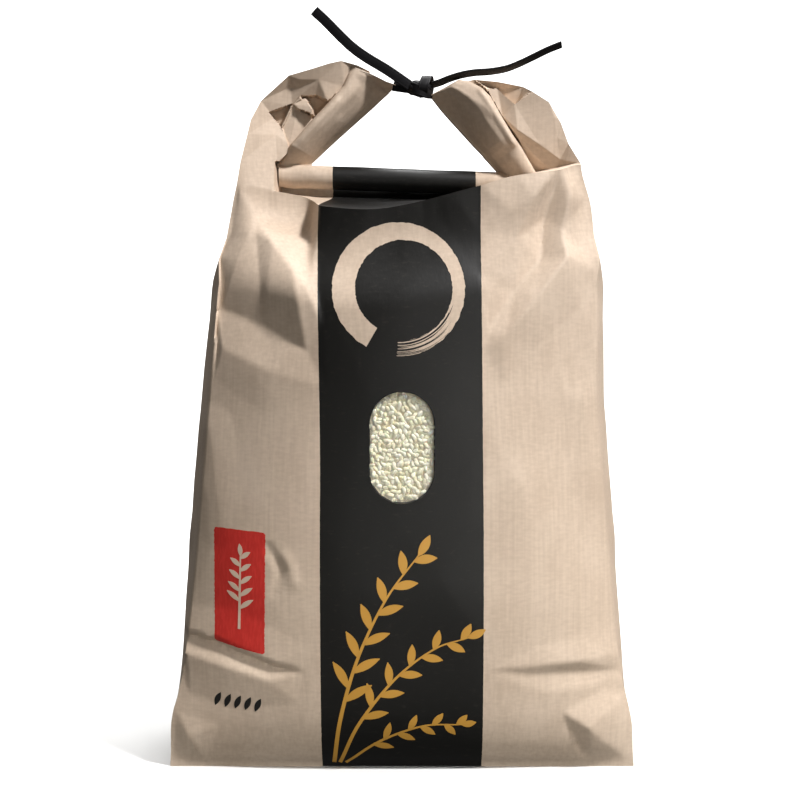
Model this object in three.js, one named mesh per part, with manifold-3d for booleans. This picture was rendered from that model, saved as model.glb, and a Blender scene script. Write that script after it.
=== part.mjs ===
// A five kilogram kraft paper rice sack that stands on its folded bottom. The mouth is
// rolled down over a flat tie, the two ends of the roll are bent up into ears, and the
// tie is knotted above the middle, so that the gap under the knot is the carrying handle.
// Units are millimetres. +Z is up, +X is to the right of the printed face, -Y is in front.

import * as THREE from 'three';
import { mergeVertices } from 'three/addons/utils/BufferGeometryUtils.js';
import Module from 'manifold-3d';

const wasm = await Module();
wasm.setup();

// Driving dimensions of the paper body
const BASE_HALF_WIDTH = 120;
const BASE_HALF_DEPTH = 42.5;
const FULL_HALF_DEPTH = 66;
const SHOULDER_Z = 245;
const LIP_Z = 288;
const LIP_DEPTH = 45;
const ROLL_Z = 303;
const ROLL_DROP = 4;
const RIDGE_Z = 312;
const MOUTH_HALF_GAP = 3;
const LIP_BEND_START = 0.82;

// The roll of the mouth
const ROLL_RADIUS = 7.8;
const ROLL_LEFT = [-64.5, -6, 304.8];
const ROLL_RIGHT = [63, -6, 300.4];
const ROLL_SIDES = 14;
const ROLL_STEPS = 6;

// The clear window and the rice that shows in it
const WINDOW_WIDTH = 32.6;
const WINDOW_HEIGHT = 55.6;
const WINDOW_Z = 168;
const WINDOW_POCKET_Y = -57;
const FILM_FRONT_Y = -65.4;
const FILM_THICKNESS = 0.5;
const GAP = 0.3;
const GRAIN_LENGTH = 5;
const GRAIN_WIDTH = 2.9;
const GRAIN_PITCH = 5;
const GRAIN_ROW_PITCH = 3.6;
const GRAIN_ROWS = 7;
const GRAIN_COLUMNS = 3;
const GRAIN_SHAKE = 1.4;
const GRAIN_TILT = 0.7;
const GRAIN_SINK = 0.7;
const GRAIN_CORE_SHARE = 0.75;
const GRAIN_CLEARANCE = 0.5;
const GRAIN_SEED = 7;
const WINDOW_ARC_STEPS = 10;
const POCKET_MARGIN = 6;

// The flat tie
const TIE_WIDTH = 5.4;
const TIE_THICKNESS = 1.4;
const TIE_BEVEL = 0.4;
const TIE_STEP = 10;

// The two free tails and the short link, as routes from the knot outward
const TAIL_LEAN = [0, 0.8];
const LEFT_TAIL = [[4.4, -10, 352.2], [0.7, -10.4, 354.7], [-3.8, -10.6, 357.8], [-8.2, -10.6, 360.7],
  [-12.5, -10.4, 363.3], [-16.9, -10.2, 365.9], [-21.8, -10, 369.1], [-26.6, -9.8, 372.8],
  [-30.7, -9.5, 376.6], [-34.6, -9.2, 380.5], [-39.8, -8.6, 385.8], [-45.8, -8, 391.4]];
const RIGHT_TAIL = [[16, -9, 353], [20, -9.2, 354.2], [25, -9.4, 356.2], [31, -9.4, 358],
  [38, -9.4, 359.2], [46, -9.2, 359.8], [54, -9, 361.2], [61, -8.6, 363.8], [69, -8.2, 367.6],
  [76, -8, 371], [83.4, -7.6, 374]];
const LINK = [[-3.2, -7, 352.2], [0, -7.6, 351.8], [4, -8, 351.2]];
const KNOT_WRAP = [[11.6, -8, 347], [10.8, -12.2, 349.6], [11.4, -12.6, 353], [13.2, -9.4, 357],
  [14.2, -5, 355], [14, -3.6, 351], [13, -5, 348]];
const KNOT_BAND = [[4, -6.4, 352.2], [6, -11.4, 351.6], [9.4, -12.4, 349.6], [13, -11, 348.4],
  [14.8, -7.4, 348.6]];

// The lump in the middle of the knot: half sizes and centre
const KNOT_LUMP_HALF = [6.6, 4.6, 4.2];
const KNOT_LUMP_CENTRE = [9, -8, 351.4];
const KNOT_LUMP_STEPS = [10, 8];

// How fine the faceted solid is
const COLUMNS_EAR = 4;
const COLUMNS_MIDDLE = 22;
const COLUMNS_SIDE = 8;
const ROWS_BODY = 24;
const ROWS_LIP = 3;
const ROWS_EAR = 10;
const STRIP_STEPS = 12;
const EDGE_TOLERANCE = 1e-9;
const WELD_DISTANCE = 1e-3;
const LIP_SHARE = ROWS_BODY / (ROWS_BODY + ROWS_LIP);

// Upright profiles of the body: height, then size
const CORNER_X = [[0, BASE_HALF_WIDTH], [12, 119.4], [22, 119], [30, 117.6], [38, 115.2], [58, 111.5],
  [100, 106.5], [150, 101.5], [200, 97.5], [SHOULDER_Z, 93.5], [270, 90.3], [290, 87.2], [RIDGE_Z, 83.5]];
const RIGHT_EXTRA = [[0, 0], [180, 0.5], [210, 2.4], [SHOULDER_Z, 5.6], [285, 10], [RIDGE_Z, 8.6]];
const CORNER_Y = [[0, BASE_HALF_DEPTH], [30, 44], [100, 43], [190, 42], [SHOULDER_Z, 38], [290, 29],
  [RIDGE_Z, 24]];
const SIDE_OUT = [[0, 0], [30, 1.5], [58, 5.6], [100, 7.8], [150, 8.8], [200, 7.8], [SHOULDER_Z, 6.6],
  [275, 3.5], [300, 0], [RIDGE_Z, 0]];
const GUSSET_IN = [[0, 0], [SHOULDER_Z, 0], [270, 1.5], [295, 7], [RIDGE_Z, 12]];
const FRONT_DEPTH = [[0, BASE_HALF_DEPTH], [12, 47], [30, 54], [60, 61.5], [100, FULL_HALF_DEPTH],
  [190, FULL_HALF_DEPTH], [SHOULDER_Z, 61.5], [LIP_Z, 46], [RIDGE_Z, 40]];
const BACK_DEPTH = [[0, BASE_HALF_DEPTH], [12, 47], [30, 54], [60, 61.5], [100, FULL_HALF_DEPTH],
  [190, FULL_HALF_DEPTH], [SHOULDER_Z, 61.5], [264, 53], [LIP_Z, 34], [RIDGE_Z, 26]];

// How square the section is at a height: the depth falls from the middle to the corners as
// the column's share of the half width to this power
const BULGE_POWER = [[0, 3], [60, 3.2], [120, 3], [190, 2.2], [SHOULDER_Z, 1.8], [290, 2.1]];

// The front lip, from the left corner at -1 to the right corner at 1: its height and depth
const LIP_HEIGHT = [[-1, 300], [-0.72, 292], [-0.5, 288.8], [-0.1, 287.3], [0.41, 298.5],
  [0.6, 303.5], [0.86, 307], [1, 308]];
const LIP_FORWARD = [[-1, 26.5], [-0.72, 31], [-0.52, 43], [0, LIP_DEPTH], [0.41, LIP_DEPTH],
  [0.6, 42], [0.86, 36], [1, 28]];
const BACK_LIP_HEIGHT = [[-1, 299], [-0.7, 292], [0, 291], [0.7, 295], [1, 304]];

// Each ear is a fan of paper about the kink of the roll. A rim row is the direction seen
// from the kink in degrees, the distance out, half the depth there and how far the gusset
// is folded in.
const EARS = [
  {
    side: -1,
    kink: [-65, RIDGE_Z],
    kinkDepth: 14,
    rim: [[180, 18.3, 24, 12], [155, 19.4, 23, 12], [135, 22.7, 20, 11], [121, 28, 18, 11],
      [106, 34, 16, 10], [84, 46.8, 13, 9], [71, 56.2, 11, 7], [59, 64.2, 8, 3], [52, 65.5, 6, 0]],
    dip: 5,
    pocket: 0,
  },
  {
    side: 1,
    kink: [66, 307],
    kinkDepth: 8,
    rim: [[9, 26.4, 26, 12], [30, 26.6, 23, 12], [48, 28.8, 20, 11], [63, 33.6, 17, 11],
      [75, 39.3, 15, 10], [90, 43, 13, 9], [108, 50.4, 11, 7], [118, 55.2, 8, 3], [124, 57, 6, 0]],
    dip: 4,
    pocket: 13,
  },
];
const KINK_RADIUS = 1.2;

// Where the dip of an ear begins and is full, as shares of its turn
const DIP_START = 0.35;
const DIP_RUN = 0.25;

// The pocket in an ear's front: the share of the way out where its lip stands, how quickly
// the lip rises and falls to the rim, how far the floor goes in behind it, and over what
// shares of the radius and of the turn
const POCKET_EDGE = 0.58;
const POCKET_RISE = 0.12;
const POCKET_RIM_SLOPE = 3;
const POCKET_FLOOR = 0.4;
const POCKET_RUN = 0.3;
const POCKET_TURN = 0.45;

// Each strip is the end of the roll, bent up to the knot: share of its length, then x and z
// of its lower edge, x and z of its upper edge, and half its thickness
const STRIPS = [
  [[-0.2, -56, 305, -68, 305, 6], [0, -48.5, 312.7, -64, 313.5, 6.5],
    [0.45, -29.5, 330.6, -43.5, 340.5, 7.5], [0.8, -14.6, 344.6, -27.5, 363.6, 6.5],
    [0.88, -11.2, 347.3, -18, 361.2, 5.5], [0.96, -6.8, 350.1, -8.6, 355.6, 3.2],
    [1, -3.8, 351.2, -4, 353, 1.8]],
  [[-0.2, 58, 298, 68, 300, 5.5], [0, 50.5, 308, 64.5, 309.5, 6.5],
    [0.45, 34, 326.9, 53.5, 332.4, 7.5], [0.8, 22.6, 340, 41.4, 353.2, 6.5],
    [0.9, 19.2, 344, 29.4, 355.4, 5], [0.97, 17, 346.6, 20.2, 352, 3],
    [1, 16, 347.8, 16.6, 350.4, 1.8]],
];
const STRIP_Y = -5;
const STRIP_SIDES = 12;

// Named folds of the front, each from one point to another on the face, with how far it
// stands out (or goes in) at its two ends and how wide it is
const FRONT_FOLDS = [
  { from: [-84, 303], to: [-74, 283], out: [2, 7], width: 20 },
  { from: [-74, 283], to: [-57, 261], out: [7, 7.5], width: 24 },
  { from: [-57, 261], to: [-42, 245], out: [7.5, 1], width: 26 },
  { from: [-101, 70], to: [-77, 61], out: [-4, -5.5], width: 8 },
  { from: [-77, 61], to: [-48, 53], out: [-5.5, -0.5], width: 10 },
  { from: [-104, 58], to: [-82, 54], out: [4, 2.5], width: 10 },
  { from: [70, 49], to: [96, 49], out: [-0.5, -2.5], width: 11 },
  { from: [88, 18], to: [96, 35], out: [3.5, 4.5], width: 10 },
  { from: [78, 296], to: [62, 276], out: [-1, -4], width: 14 },
  { from: [62, 276], to: [46, 268], out: [-4, -0.5], width: 16 },
  { from: [72, 272], to: [84, 254], out: [3.5, 3], width: 13 },
  { from: [82, 254], to: [56, 228], out: [-3.5, -1], width: 20 },
];

// The folds fade in where the front is this deep, and above the foot
const FOLD_START_Y = 24;
const FOLD_FADE_Y = 14;
const FOLD_FADE_Z = 12;

// A smooth curve through [place, value] pairs, level beyond both ends
function along(table, place) {
  const last = table.length - 1;
  if (place <= table[0][0]) return table[0][1];
  if (place >= table[last][0]) return table[last][1];
  let k = 0;
  while (place > table[k + 1][0]) k += 1;
  const slope = (m) => {
    if (m === 0 || m === last) return 0;
    return (table[m + 1][1] - table[m - 1][1]) / (table[m + 1][0] - table[m - 1][0]);
  };
  const span = table[k + 1][0] - table[k][0];
  const t = (place - table[k][0]) / span;
  const start = table[k][1] * (1 + 2 * t) * (1 - t) ** 2 + table[k + 1][1] * t * t * (3 - 2 * t);
  return start + span * (slope(k) * t * (1 - t) ** 2 - slope(k + 1) * t * t * (1 - t));
}

const mix = (from, to, t) => from + (to - from) * t;
const mixPoints = (from, to, t) => from.map((value, k) => mix(value, to[k], t));
const smooth = (t) => {
  const held = Math.min(Math.max(t, 0), 1);
  return held * held * (3 - 2 * held);
};

// x of a column of the body: across runs from -1 at the left corner to 1 at the right one
function columnX(across, z) {
  const extra = across > 0 ? along(RIGHT_EXTRA, z) : 0;
  return across * (along(CORNER_X, z) + extra);
}

// How deep the full body is at a column, in front or behind
function bodyDepth(depths, across, z) {
  const corner = along(CORNER_Y, z);
  return corner + (along(depths, z) - corner) * (1 - Math.abs(across) ** along(BULGE_POWER, z));
}

// Where the columns of the ears begin, as shares of the half width
const KINK_SHARE = EARS.map((ear) => ear.kink[0] / Math.abs(columnX(ear.side, RIDGE_Z)));

// One point of an ear's face. turn goes 0..1 from the body to the strip, out goes 0..1 from
// the kink to the rim, and face is -1 in front and 1 behind.
function earPoint(ear, turn, out, face) {
  const first = ear.rim[0][0];
  const angle = mix(first, ear.rim[ear.rim.length - 1][0], turn);
  const order = ear.side < 0 ? [...ear.rim].reverse() : ear.rim;
  const rimOf = (column) => along(order.map((row) => [row[0], row[column]]), angle);
  const radius = KINK_RADIUS + (rimOf(1) - KINK_RADIUS) * out;
  const dip = ear.dip * smooth((turn - DIP_START) / DIP_RUN) * Math.sin(Math.PI * out);
  let depth = mix(ear.kinkDepth, rimOf(2), out) - dip;
  if (face < 0) {
    const step = smooth((out - POCKET_EDGE) / POCKET_RISE) * Math.min(1, (1 - out) * POCKET_RIM_SLOPE);
    const floor = POCKET_FLOOR * smooth((POCKET_EDGE - out) / POCKET_RUN) * out;
    depth += ear.pocket * (step - floor) * (1 - smooth(turn / POCKET_TURN));
  }
  const radians = THREE.MathUtils.degToRad(angle);
  return [
    ear.kink[0] + radius * Math.cos(radians),
    face * depth,
    ear.kink[1] + radius * Math.sin(radians),
  ];
}

// The folded edge of the gusset between the two rims of an ear
function earSide(ear, turn, between) {
  const order = ear.side < 0 ? [...ear.rim].reverse() : ear.rim;
  const angle = mix(ear.rim[0][0], ear.rim[ear.rim.length - 1][0], turn);
  const inward = along(order.map((row) => [row[0], row[3]]), angle) * (1 - Math.abs(2 * between - 1));
  const point = mixPoints(earPoint(ear, turn, 1, -1), earPoint(ear, turn, 1, 1), between);
  const radians = THREE.MathUtils.degToRad(angle);
  return [point[0] - inward * Math.cos(radians), point[1], point[2] - inward * Math.sin(radians)];
}

// The line where a face of the body ends: on an ear, or pressed flat under the roll
function mouthPoint(across, face) {
  for (const [k, ear] of EARS.entries()) {
    const share = KINK_SHARE[k];
    if (ear.side * across >= ear.side * share - EDGE_TOLERANCE) {
      return earPoint(ear, 0, (across - share) / (ear.side - share), face);
    }
  }
  const t = (across - KINK_SHARE[0]) / (KINK_SHARE[1] - KINK_SHARE[0]);
  return [
    mix(EARS[0].kink[0], EARS[1].kink[0], t),
    face * MOUTH_HALF_GAP,
    mix(ROLL_Z, ROLL_Z - ROLL_DROP, t),
  ];
}

// One point of the body's front or back. up runs 0..1 from the base to the mouth.
function bodyPoint(across, up, face) {
  const lipTable = face < 0 ? LIP_HEIGHT : BACK_LIP_HEIGHT;
  const lipZ = along(lipTable, across);
  const rise = Math.min(up / LIP_SHARE, 1);
  const z = lipZ * rise;
  let depth = bodyDepth(face < 0 ? FRONT_DEPTH : BACK_DEPTH, across, z);
  const bend = smooth((rise - LIP_BEND_START) / (1 - LIP_BEND_START));
  if (face < 0) depth = mix(depth, along(LIP_FORWARD, across), bend);
  const lip = [columnX(across, z), face * depth, z];
  if (up <= LIP_SHARE) return lip;
  const share = (up - LIP_SHARE) / (1 - LIP_SHARE);
  return mixPoints(lip, mouthPoint(across, face), share);
}

// One point of a side of the body, between the front corner and the back corner
function sidePoint(side, between, up) {
  const point = mixPoints(bodyPoint(side, up, -1), bodyPoint(side, up, 1), between);
  const z = point[2];
  const out = along(SIDE_OUT, z) * (1 - (2 * between - 1) ** 2);
  const inward = along(GUSSET_IN, z) * (1 - Math.abs(2 * between - 1));
  if (up > 1 - EDGE_TOLERANCE) return earSide(EARS[side < 0 ? 0 : 1], 0, between);
  return [point[0] + side * (out - inward), point[1], z];
}

// How far the front is moved at a point by its folds: a tent over each fold, of which the
// highest ridge and the deepest valley are added
function foldOffset(x, z) {
  let ridge = 0;
  let valley = 0;
  for (const fold of FRONT_FOLDS) {
    const dx = fold.to[0] - fold.from[0];
    const dz = fold.to[1] - fold.from[1];
    const t = ((x - fold.from[0]) * dx + (z - fold.from[1]) * dz) / (dx * dx + dz * dz);
    const held = Math.min(Math.max(t, 0), 1);
    const away = Math.hypot(x - fold.from[0] - held * dx, z - fold.from[1] - held * dz);
    const height = mix(fold.out[0], fold.out[1], held) * Math.max(0, 1 - away / fold.width);
    ridge = Math.max(ridge, height);
    valley = Math.min(valley, height);
  }
  return ridge + valley;
}

// A grid of quads over a patch: pointAt(u, v) for u in us and v in vs, as loose triangles
function patch(us, vs, pointAt, flip) {
  const corners = [];
  for (let i = 0; i < us.length - 1; i += 1) {
    for (let j = 0; j < vs.length - 1; j += 1) {
      const a = pointAt(us[i], vs[j]);
      const b = pointAt(us[i + 1], vs[j]);
      const c = pointAt(us[i + 1], vs[j + 1]);
      const d = pointAt(us[i], vs[j + 1]);
      const quad = flip ? [a, c, b, a, d, c] : [a, b, c, a, c, d];
      corners.push(...quad);
    }
  }
  return corners;
}

// An evenly divided range
const steps = (count, from = 0, to = 1) => Array.from({ length: count + 1 },
  (unused, k) => from + ((to - from) * k) / count);

// Loose triangles made one geometry with shared points, without the flat ones at a pole
function weld(corners) {
  const geometry = new THREE.BufferGeometry();
  geometry.setAttribute('position', new THREE.Float32BufferAttribute(corners.flat(), 3));
  const merged = mergeVertices(geometry, WELD_DISTANCE);
  const index = [];
  for (let k = 0; k < merged.index.count; k += 3) {
    const [a, b, c] = [0, 1, 2].map((m) => merged.index.getX(k + m));
    if (a !== b && b !== c && c !== a) index.push(a, b, c);
  }
  merged.setIndex(index);
  return merged;
}

// The paper body with the webs of both ears, as one closed surface
function paperGeometry() {
  const earColumns = EARS.map((ear, k) => steps(COLUMNS_EAR, KINK_SHARE[k], ear.side));
  const middle = steps(COLUMNS_MIDDLE, KINK_SHARE[0], KINK_SHARE[1]);
  const across = [...earColumns[0].reverse().slice(0, -1), ...middle, ...earColumns[1].slice(1)];
  const body = steps(ROWS_BODY).map((t) => t * LIP_SHARE);
  const up = [...body, ...steps(ROWS_LIP, LIP_SHARE, 1).slice(1)];
  const between = steps(COLUMNS_SIDE);
  const turn = steps(ROWS_EAR);
  const out = steps(COLUMNS_EAR);
  const corners = [
    ...patch(across, up, (u, v) => bodyPoint(u, v, -1), false),
    ...patch(across, up, (u, v) => bodyPoint(u, v, 1), true),
    ...patch(between, up, (u, v) => sidePoint(-1, u, v), true),
    ...patch(between, up, (u, v) => sidePoint(1, u, v), false),
    ...patch(across, between, (u, v) => mixPoints(bodyPoint(u, 0, -1), bodyPoint(u, 0, 1), v), true),
    ...patch(middle, between, (u, v) => mixPoints(mouthPoint(u, -1), mouthPoint(u, 1), v), false),
  ];
  for (const ear of EARS) {
    const left = ear.side < 0;
    const inner = (u, v) => mixPoints(earPoint(ear, v, 0, -1), earPoint(ear, v, 0, 1), u);
    const end = (u, v) => mixPoints(earPoint(ear, 1, u, -1), earPoint(ear, 1, u, 1), v);
    corners.push(...patch(out, turn, (u, v) => earPoint(ear, v, u, -1), left));
    corners.push(...patch(out, turn, (u, v) => earPoint(ear, v, u, 1), !left));
    corners.push(...patch(between, turn, (u, v) => earSide(ear, v, u), left));
    corners.push(...patch(between, turn, inner, !left));
    corners.push(...patch(out, between, end, left));
  }
  const geometry = weld(corners);
  const place = geometry.attributes.position;
  for (let k = 0; k < place.count; k += 1) {
    const [x, y, z] = [place.getX(k), place.getY(k), place.getZ(k)];
    const facing = smooth((-y - FOLD_START_Y) / FOLD_FADE_Y) * smooth(z / FOLD_FADE_Z);
    place.setY(k, y - foldOffset(x, z) * facing);
  }
  return geometry;
}

// A closed tube through rings of points
function tubeGeometry(rings) {
  const corners = [];
  const sides = rings[0].length;
  for (let k = 0; k < rings.length - 1; k += 1) {
    for (let m = 0; m < sides; m += 1) {
      const n = (m + 1) % sides;
      const [a, b, c, d] = [rings[k][m], rings[k][n], rings[k + 1][n], rings[k + 1][m]];
      corners.push(a, b, c, a, c, d);
    }
  }
  for (const [ring, flip] of [[rings[0], true], [rings[rings.length - 1], false]]) {
    for (let m = 1; m < sides - 1; m += 1) {
      corners.push(ring[0], ...(flip ? [ring[m + 1], ring[m]] : [ring[m], ring[m + 1]]));
    }
  }
  return weld(corners);
}

// The rolled mouth: a round bar, a little flattened, sloping down to the right
function rollGeometry() {
  const rings = steps(ROLL_STEPS).map((t) => {
    const centre = mixPoints(ROLL_LEFT, ROLL_RIGHT, t);
    return steps(ROLL_SIDES - 1, 0, 2 * Math.PI * (1 - 1 / ROLL_SIDES)).map((angle) => [
      centre[0],
      centre[1] + ROLL_RADIUS * Math.cos(angle),
      centre[2] + ROLL_RADIUS * Math.sin(angle),
    ]);
  });
  return tubeGeometry(rings);
}

// One bent up end of the roll: a flattened tube that widens and closes at the knot
function stripGeometry(rows) {
  const column = (k) => rows.map((row) => [row[0], row[k]]);
  const rings = steps(STRIP_STEPS, rows[0][0], 1).map((t) => {
    const low = [along(column(1), t), along(column(2), t)];
    const high = [along(column(3), t), along(column(4), t)];
    const thick = along(column(5), t);
    return steps(STRIP_SIDES - 1, 0, 2 * Math.PI * (1 - 1 / STRIP_SIDES)).map((angle) => {
      const share = (1 + Math.cos(angle)) / 2;
      return [mix(low[0], high[0], share), STRIP_Y + thick * Math.sin(angle),
        mix(low[1], high[1], share)];
    });
  });
  return tubeGeometry(rings);
}

// A solid from a closed geometry, turned the right way out
function solidOf(geometry) {
  const bare = geometry.clone();
  bare.deleteAttribute('normal');
  bare.deleteAttribute('uv');
  const merged = mergeVertices(bare, 1e-4);
  const triVerts = new Uint32Array(merged.index.array);
  const vertProperties = new Float32Array(merged.attributes.position.array);
  const solid = new wasm.Manifold(new wasm.Mesh({ numProp: 3, vertProperties, triVerts }));
  if (solid.volume() > 0) return solid;
  for (let k = 0; k < triVerts.length; k += 3) {
    [triVerts[k + 1], triVerts[k + 2]] = [triVerts[k + 2], triVerts[k + 1]];
  }
  return new wasm.Manifold(new wasm.Mesh({ numProp: 3, vertProperties, triVerts }));
}

// The largest piece of a solid, without loose scraps and with its closed hollows filled
function largestPiece(solid) {
  const pieces = solid.decompose();
  return pieces.reduce((best, piece) => (piece.volume() > best.volume() ? piece : best));
}

// The geometry of a solid
function geometryOf(solid) {
  const mesh = solid.getMesh();
  const geometry = new THREE.BufferGeometry();
  geometry.setAttribute('position', new THREE.Float32BufferAttribute(mesh.vertProperties, 3));
  geometry.setIndex(Array.from(mesh.triVerts));
  geometry.computeVertexNormals();
  return geometry;
}

// The window's shape: a rectangle with half-round ends, grown by a margin
function windowShape(margin) {
  const radius = WINDOW_WIDTH / 2 + margin;
  const straight = (WINDOW_HEIGHT - WINDOW_WIDTH) / 2;
  const shape = new THREE.Shape();
  shape.absarc(0, straight, radius, 0, Math.PI, false);
  shape.absarc(0, -straight, radius, Math.PI, 2 * Math.PI, false);
  shape.closePath();
  return shape;
}

// A plate of the window's shape between two depths
function windowPlate(margin, frontY, backY) {
  const geometry = new THREE.ExtrudeGeometry(windowShape(margin), {
    depth: backY - frontY, bevelEnabled: false, curveSegments: WINDOW_ARC_STEPS,
  });
  geometry.rotateX(Math.PI / 2);
  geometry.translate(0, backY, WINDOW_Z);
  return geometry;
}

// Random numbers from 0 to 1 that are the same each time
function seeded(seed) {
  const factor = 16807;
  const range = 2147483647;
  let state = seed;
  return () => {
    state = (state * factor) % range;
    return state / range;
  };
}

// The rice behind the window: a flat core with the grains that show fused to its face
function riceGeometry() {
  const random = seeded(GRAIN_SEED);
  const faceY = FILM_FRONT_Y + FILM_THICKNESS + GAP;
  const coreY = faceY + GRAIN_WIDTH * GRAIN_CORE_SHARE;
  const straight = (WINDOW_HEIGHT - WINDOW_WIDTH) / 2;
  const reach = WINDOW_WIDTH / 2 - GRAIN_CLEARANCE - GRAIN_LENGTH / 2;
  let solid = solidOf(windowPlate(-GAP, coreY, WINDOW_POCKET_Y - GAP));
  const grains = [];
  for (let row = -GRAIN_ROWS; row <= GRAIN_ROWS; row += 1) {
    for (let k = -GRAIN_COLUMNS; k <= GRAIN_COLUMNS; k += 1) {
      const x = (k + (row % 2 ? 0.5 : 0)) * GRAIN_PITCH + (random() - 0.5) * GRAIN_SHAKE;
      const z = row * GRAIN_ROW_PITCH + (random() - 0.5) * GRAIN_SHAKE;
      const lean = random() * Math.PI;
      const tilt = (random() - 0.5) * GRAIN_TILT;
      const beyond = Math.hypot(x, Math.max(Math.abs(z) - straight, 0));
      const grain = new THREE.SphereGeometry(1, 6, 4);
      grain.scale(GRAIN_LENGTH / 2, GRAIN_WIDTH / 2, GRAIN_WIDTH / 2);
      grain.rotateZ(tilt);
      grain.rotateY(lean);
      grain.computeBoundingBox();
      const depth = faceY - grain.boundingBox.min.y + random() * GRAIN_SINK;
      grain.translate(x, depth, WINDOW_Z + z);
      if (beyond < reach) grains.push(solidOf(grain));
    }
  }
  for (const grain of grains) solid = solid.add(grain);
  return geometryOf(largestPiece(solid));
}

// The sack: paper body, ears, roll and strips as one solid with the window's pocket
function sackGeometry() {
  let solid = solidOf(paperGeometry()).add(solidOf(rollGeometry()));
  for (const rows of STRIPS) solid = solid.add(solidOf(stripGeometry(rows)));
  const pocket = solidOf(windowPlate(0, -FULL_HALF_DEPTH - POCKET_MARGIN, WINDOW_POCKET_Y));
  return geometryOf(largestPiece(solid.subtract(pocket)));
}

// A rounded flat section of the tie, turned about its length by a lean in radians
function tieSection(lean, margin) {
  const shape = new THREE.Shape();
  const half = [TIE_THICKNESS / 2 + margin, TIE_WIDTH / 2 + margin];
  const inner = half.map((size) => size - TIE_BEVEL);
  const outline = [[half[0], inner[1]], [inner[0], half[1]], [-inner[0], half[1]],
    [-half[0], inner[1]], [-half[0], -inner[1]], [-inner[0], -half[1]], [inner[0], -half[1]],
    [half[0], -inner[1]]];
  const turned = outline.map(([x, y]) => new THREE.Vector2(
    x * Math.cos(lean) - y * Math.sin(lean),
    x * Math.sin(lean) + y * Math.cos(lean),
  ));
  shape.setFromPoints(turned);
  return shape;
}

// A length of the tie along a route of points, grown by a margin
function tieGeometry(route, lean, margin = 0) {
  const curve = new THREE.CatmullRomCurve3(route.map((point) => new THREE.Vector3(...point)));
  const count = Math.max(2, Math.round(curve.getLength() / TIE_STEP));
  return new THREE.ExtrudeGeometry(tieSection(lean, margin), { steps: count, extrudePath: curve });
}

// The knot: the link from the left ear, a wrap over the top and a band across the front
function knotGeometry() {
  const pieces = [
    tieGeometry(LINK, 0),
    tieGeometry(KNOT_WRAP, Math.PI / 2),
    tieGeometry(KNOT_BAND, Math.PI / 2),
  ];
  const lump = new THREE.SphereGeometry(1, ...KNOT_LUMP_STEPS);
  lump.scale(...KNOT_LUMP_HALF);
  lump.translate(...KNOT_LUMP_CENTRE);
  let solid = solidOf(lump);
  for (const piece of pieces) solid = solid.add(solidOf(piece));
  for (const [k, route] of [LEFT_TAIL, RIGHT_TAIL].entries()) {
    solid = solid.subtract(solidOf(tieGeometry(route, TAIL_LEAN[k], GAP)));
  }
  return geometryOf(largestPiece(solid));
}

const kraft = new THREE.MeshStandardMaterial({ color: 0xd6b996, roughness: 0.78, metalness: 0 });
const riceWhite = new THREE.MeshStandardMaterial({ color: 0xe6dcba, roughness: 0.45, metalness: 0 });
const film = new THREE.MeshStandardMaterial({ color: 0xf4f4f0, roughness: 0.12, metalness: 0 });
const tieBlack = new THREE.MeshStandardMaterial({ color: 0x242226, roughness: 0.55, metalness: 0 });

const group = new THREE.Group();

function addMesh(name, geometry, material) {
  const mesh = new THREE.Mesh(geometry, material);
  mesh.name = name;
  group.add(mesh);
}

addMesh('sack', sackGeometry(), kraft);
addMesh('window_rice', riceGeometry(), riceWhite);
addMesh('window_film', windowPlate(-GAP, FILM_FRONT_Y, FILM_FRONT_Y + FILM_THICKNESS), film);
addMesh('tie_knot', knotGeometry(), tieBlack);
addMesh('tie_tail_left', tieGeometry(LEFT_TAIL, TAIL_LEAN[0]), tieBlack);
addMesh('tie_tail_right', tieGeometry(RIGHT_TAIL, TAIL_LEAN[1]), tieBlack);

export default group;
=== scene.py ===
# %% [markdown]
# # A five kilogram rice sack of brown kraft paper
#
# The sack stands on its folded bottom. Its mouth is rolled down over a flat black tie,
# the ends of the roll are bent up into ears, and the tie is knotted above the middle. A
# black band is printed down the front, with a film window that shows the rice.
#
# The construction model is loaded first, as a fixed frame. It is plain and faceted, so
# every visible piece is worked out again here with the same main sizes and a finer surface.

# %% Load the frame
import math

import bpy
import numpy as np
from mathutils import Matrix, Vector


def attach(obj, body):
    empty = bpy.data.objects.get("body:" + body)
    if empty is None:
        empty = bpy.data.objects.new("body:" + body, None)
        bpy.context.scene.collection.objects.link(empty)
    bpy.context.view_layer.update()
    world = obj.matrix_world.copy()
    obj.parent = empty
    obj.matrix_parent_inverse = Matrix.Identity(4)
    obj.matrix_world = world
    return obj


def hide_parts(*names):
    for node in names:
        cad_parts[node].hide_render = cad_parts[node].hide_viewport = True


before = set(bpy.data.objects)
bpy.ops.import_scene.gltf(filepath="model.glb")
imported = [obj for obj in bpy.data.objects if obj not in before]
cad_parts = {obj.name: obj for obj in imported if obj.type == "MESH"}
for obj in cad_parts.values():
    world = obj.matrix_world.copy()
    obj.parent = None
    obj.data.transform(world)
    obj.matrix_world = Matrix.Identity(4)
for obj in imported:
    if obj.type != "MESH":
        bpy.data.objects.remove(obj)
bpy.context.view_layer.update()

print("frame nodes:", sorted(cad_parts))

# %% [markdown]
# ## Camera
#
# The photograph is taken level with the shoulders of the sack, from a little under a metre
# away, and looks slightly down. A long lens keeps the uprights nearly parallel. The frame is
# square, so the lens follows from the height in view at the sack. The tiny shift puts the
# middle of the sack two pixels right of the middle of the picture, as it is there.

# %% Camera
CAMERA_PLACE = (0.0, -0.860, 0.250)
CAMERA_TARGET = (0.0, 0.0, 0.18708)
SENSOR_MM = 36.0
LENS_MM = 72.4
PICTURE_SHIFT = -0.0025

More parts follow.
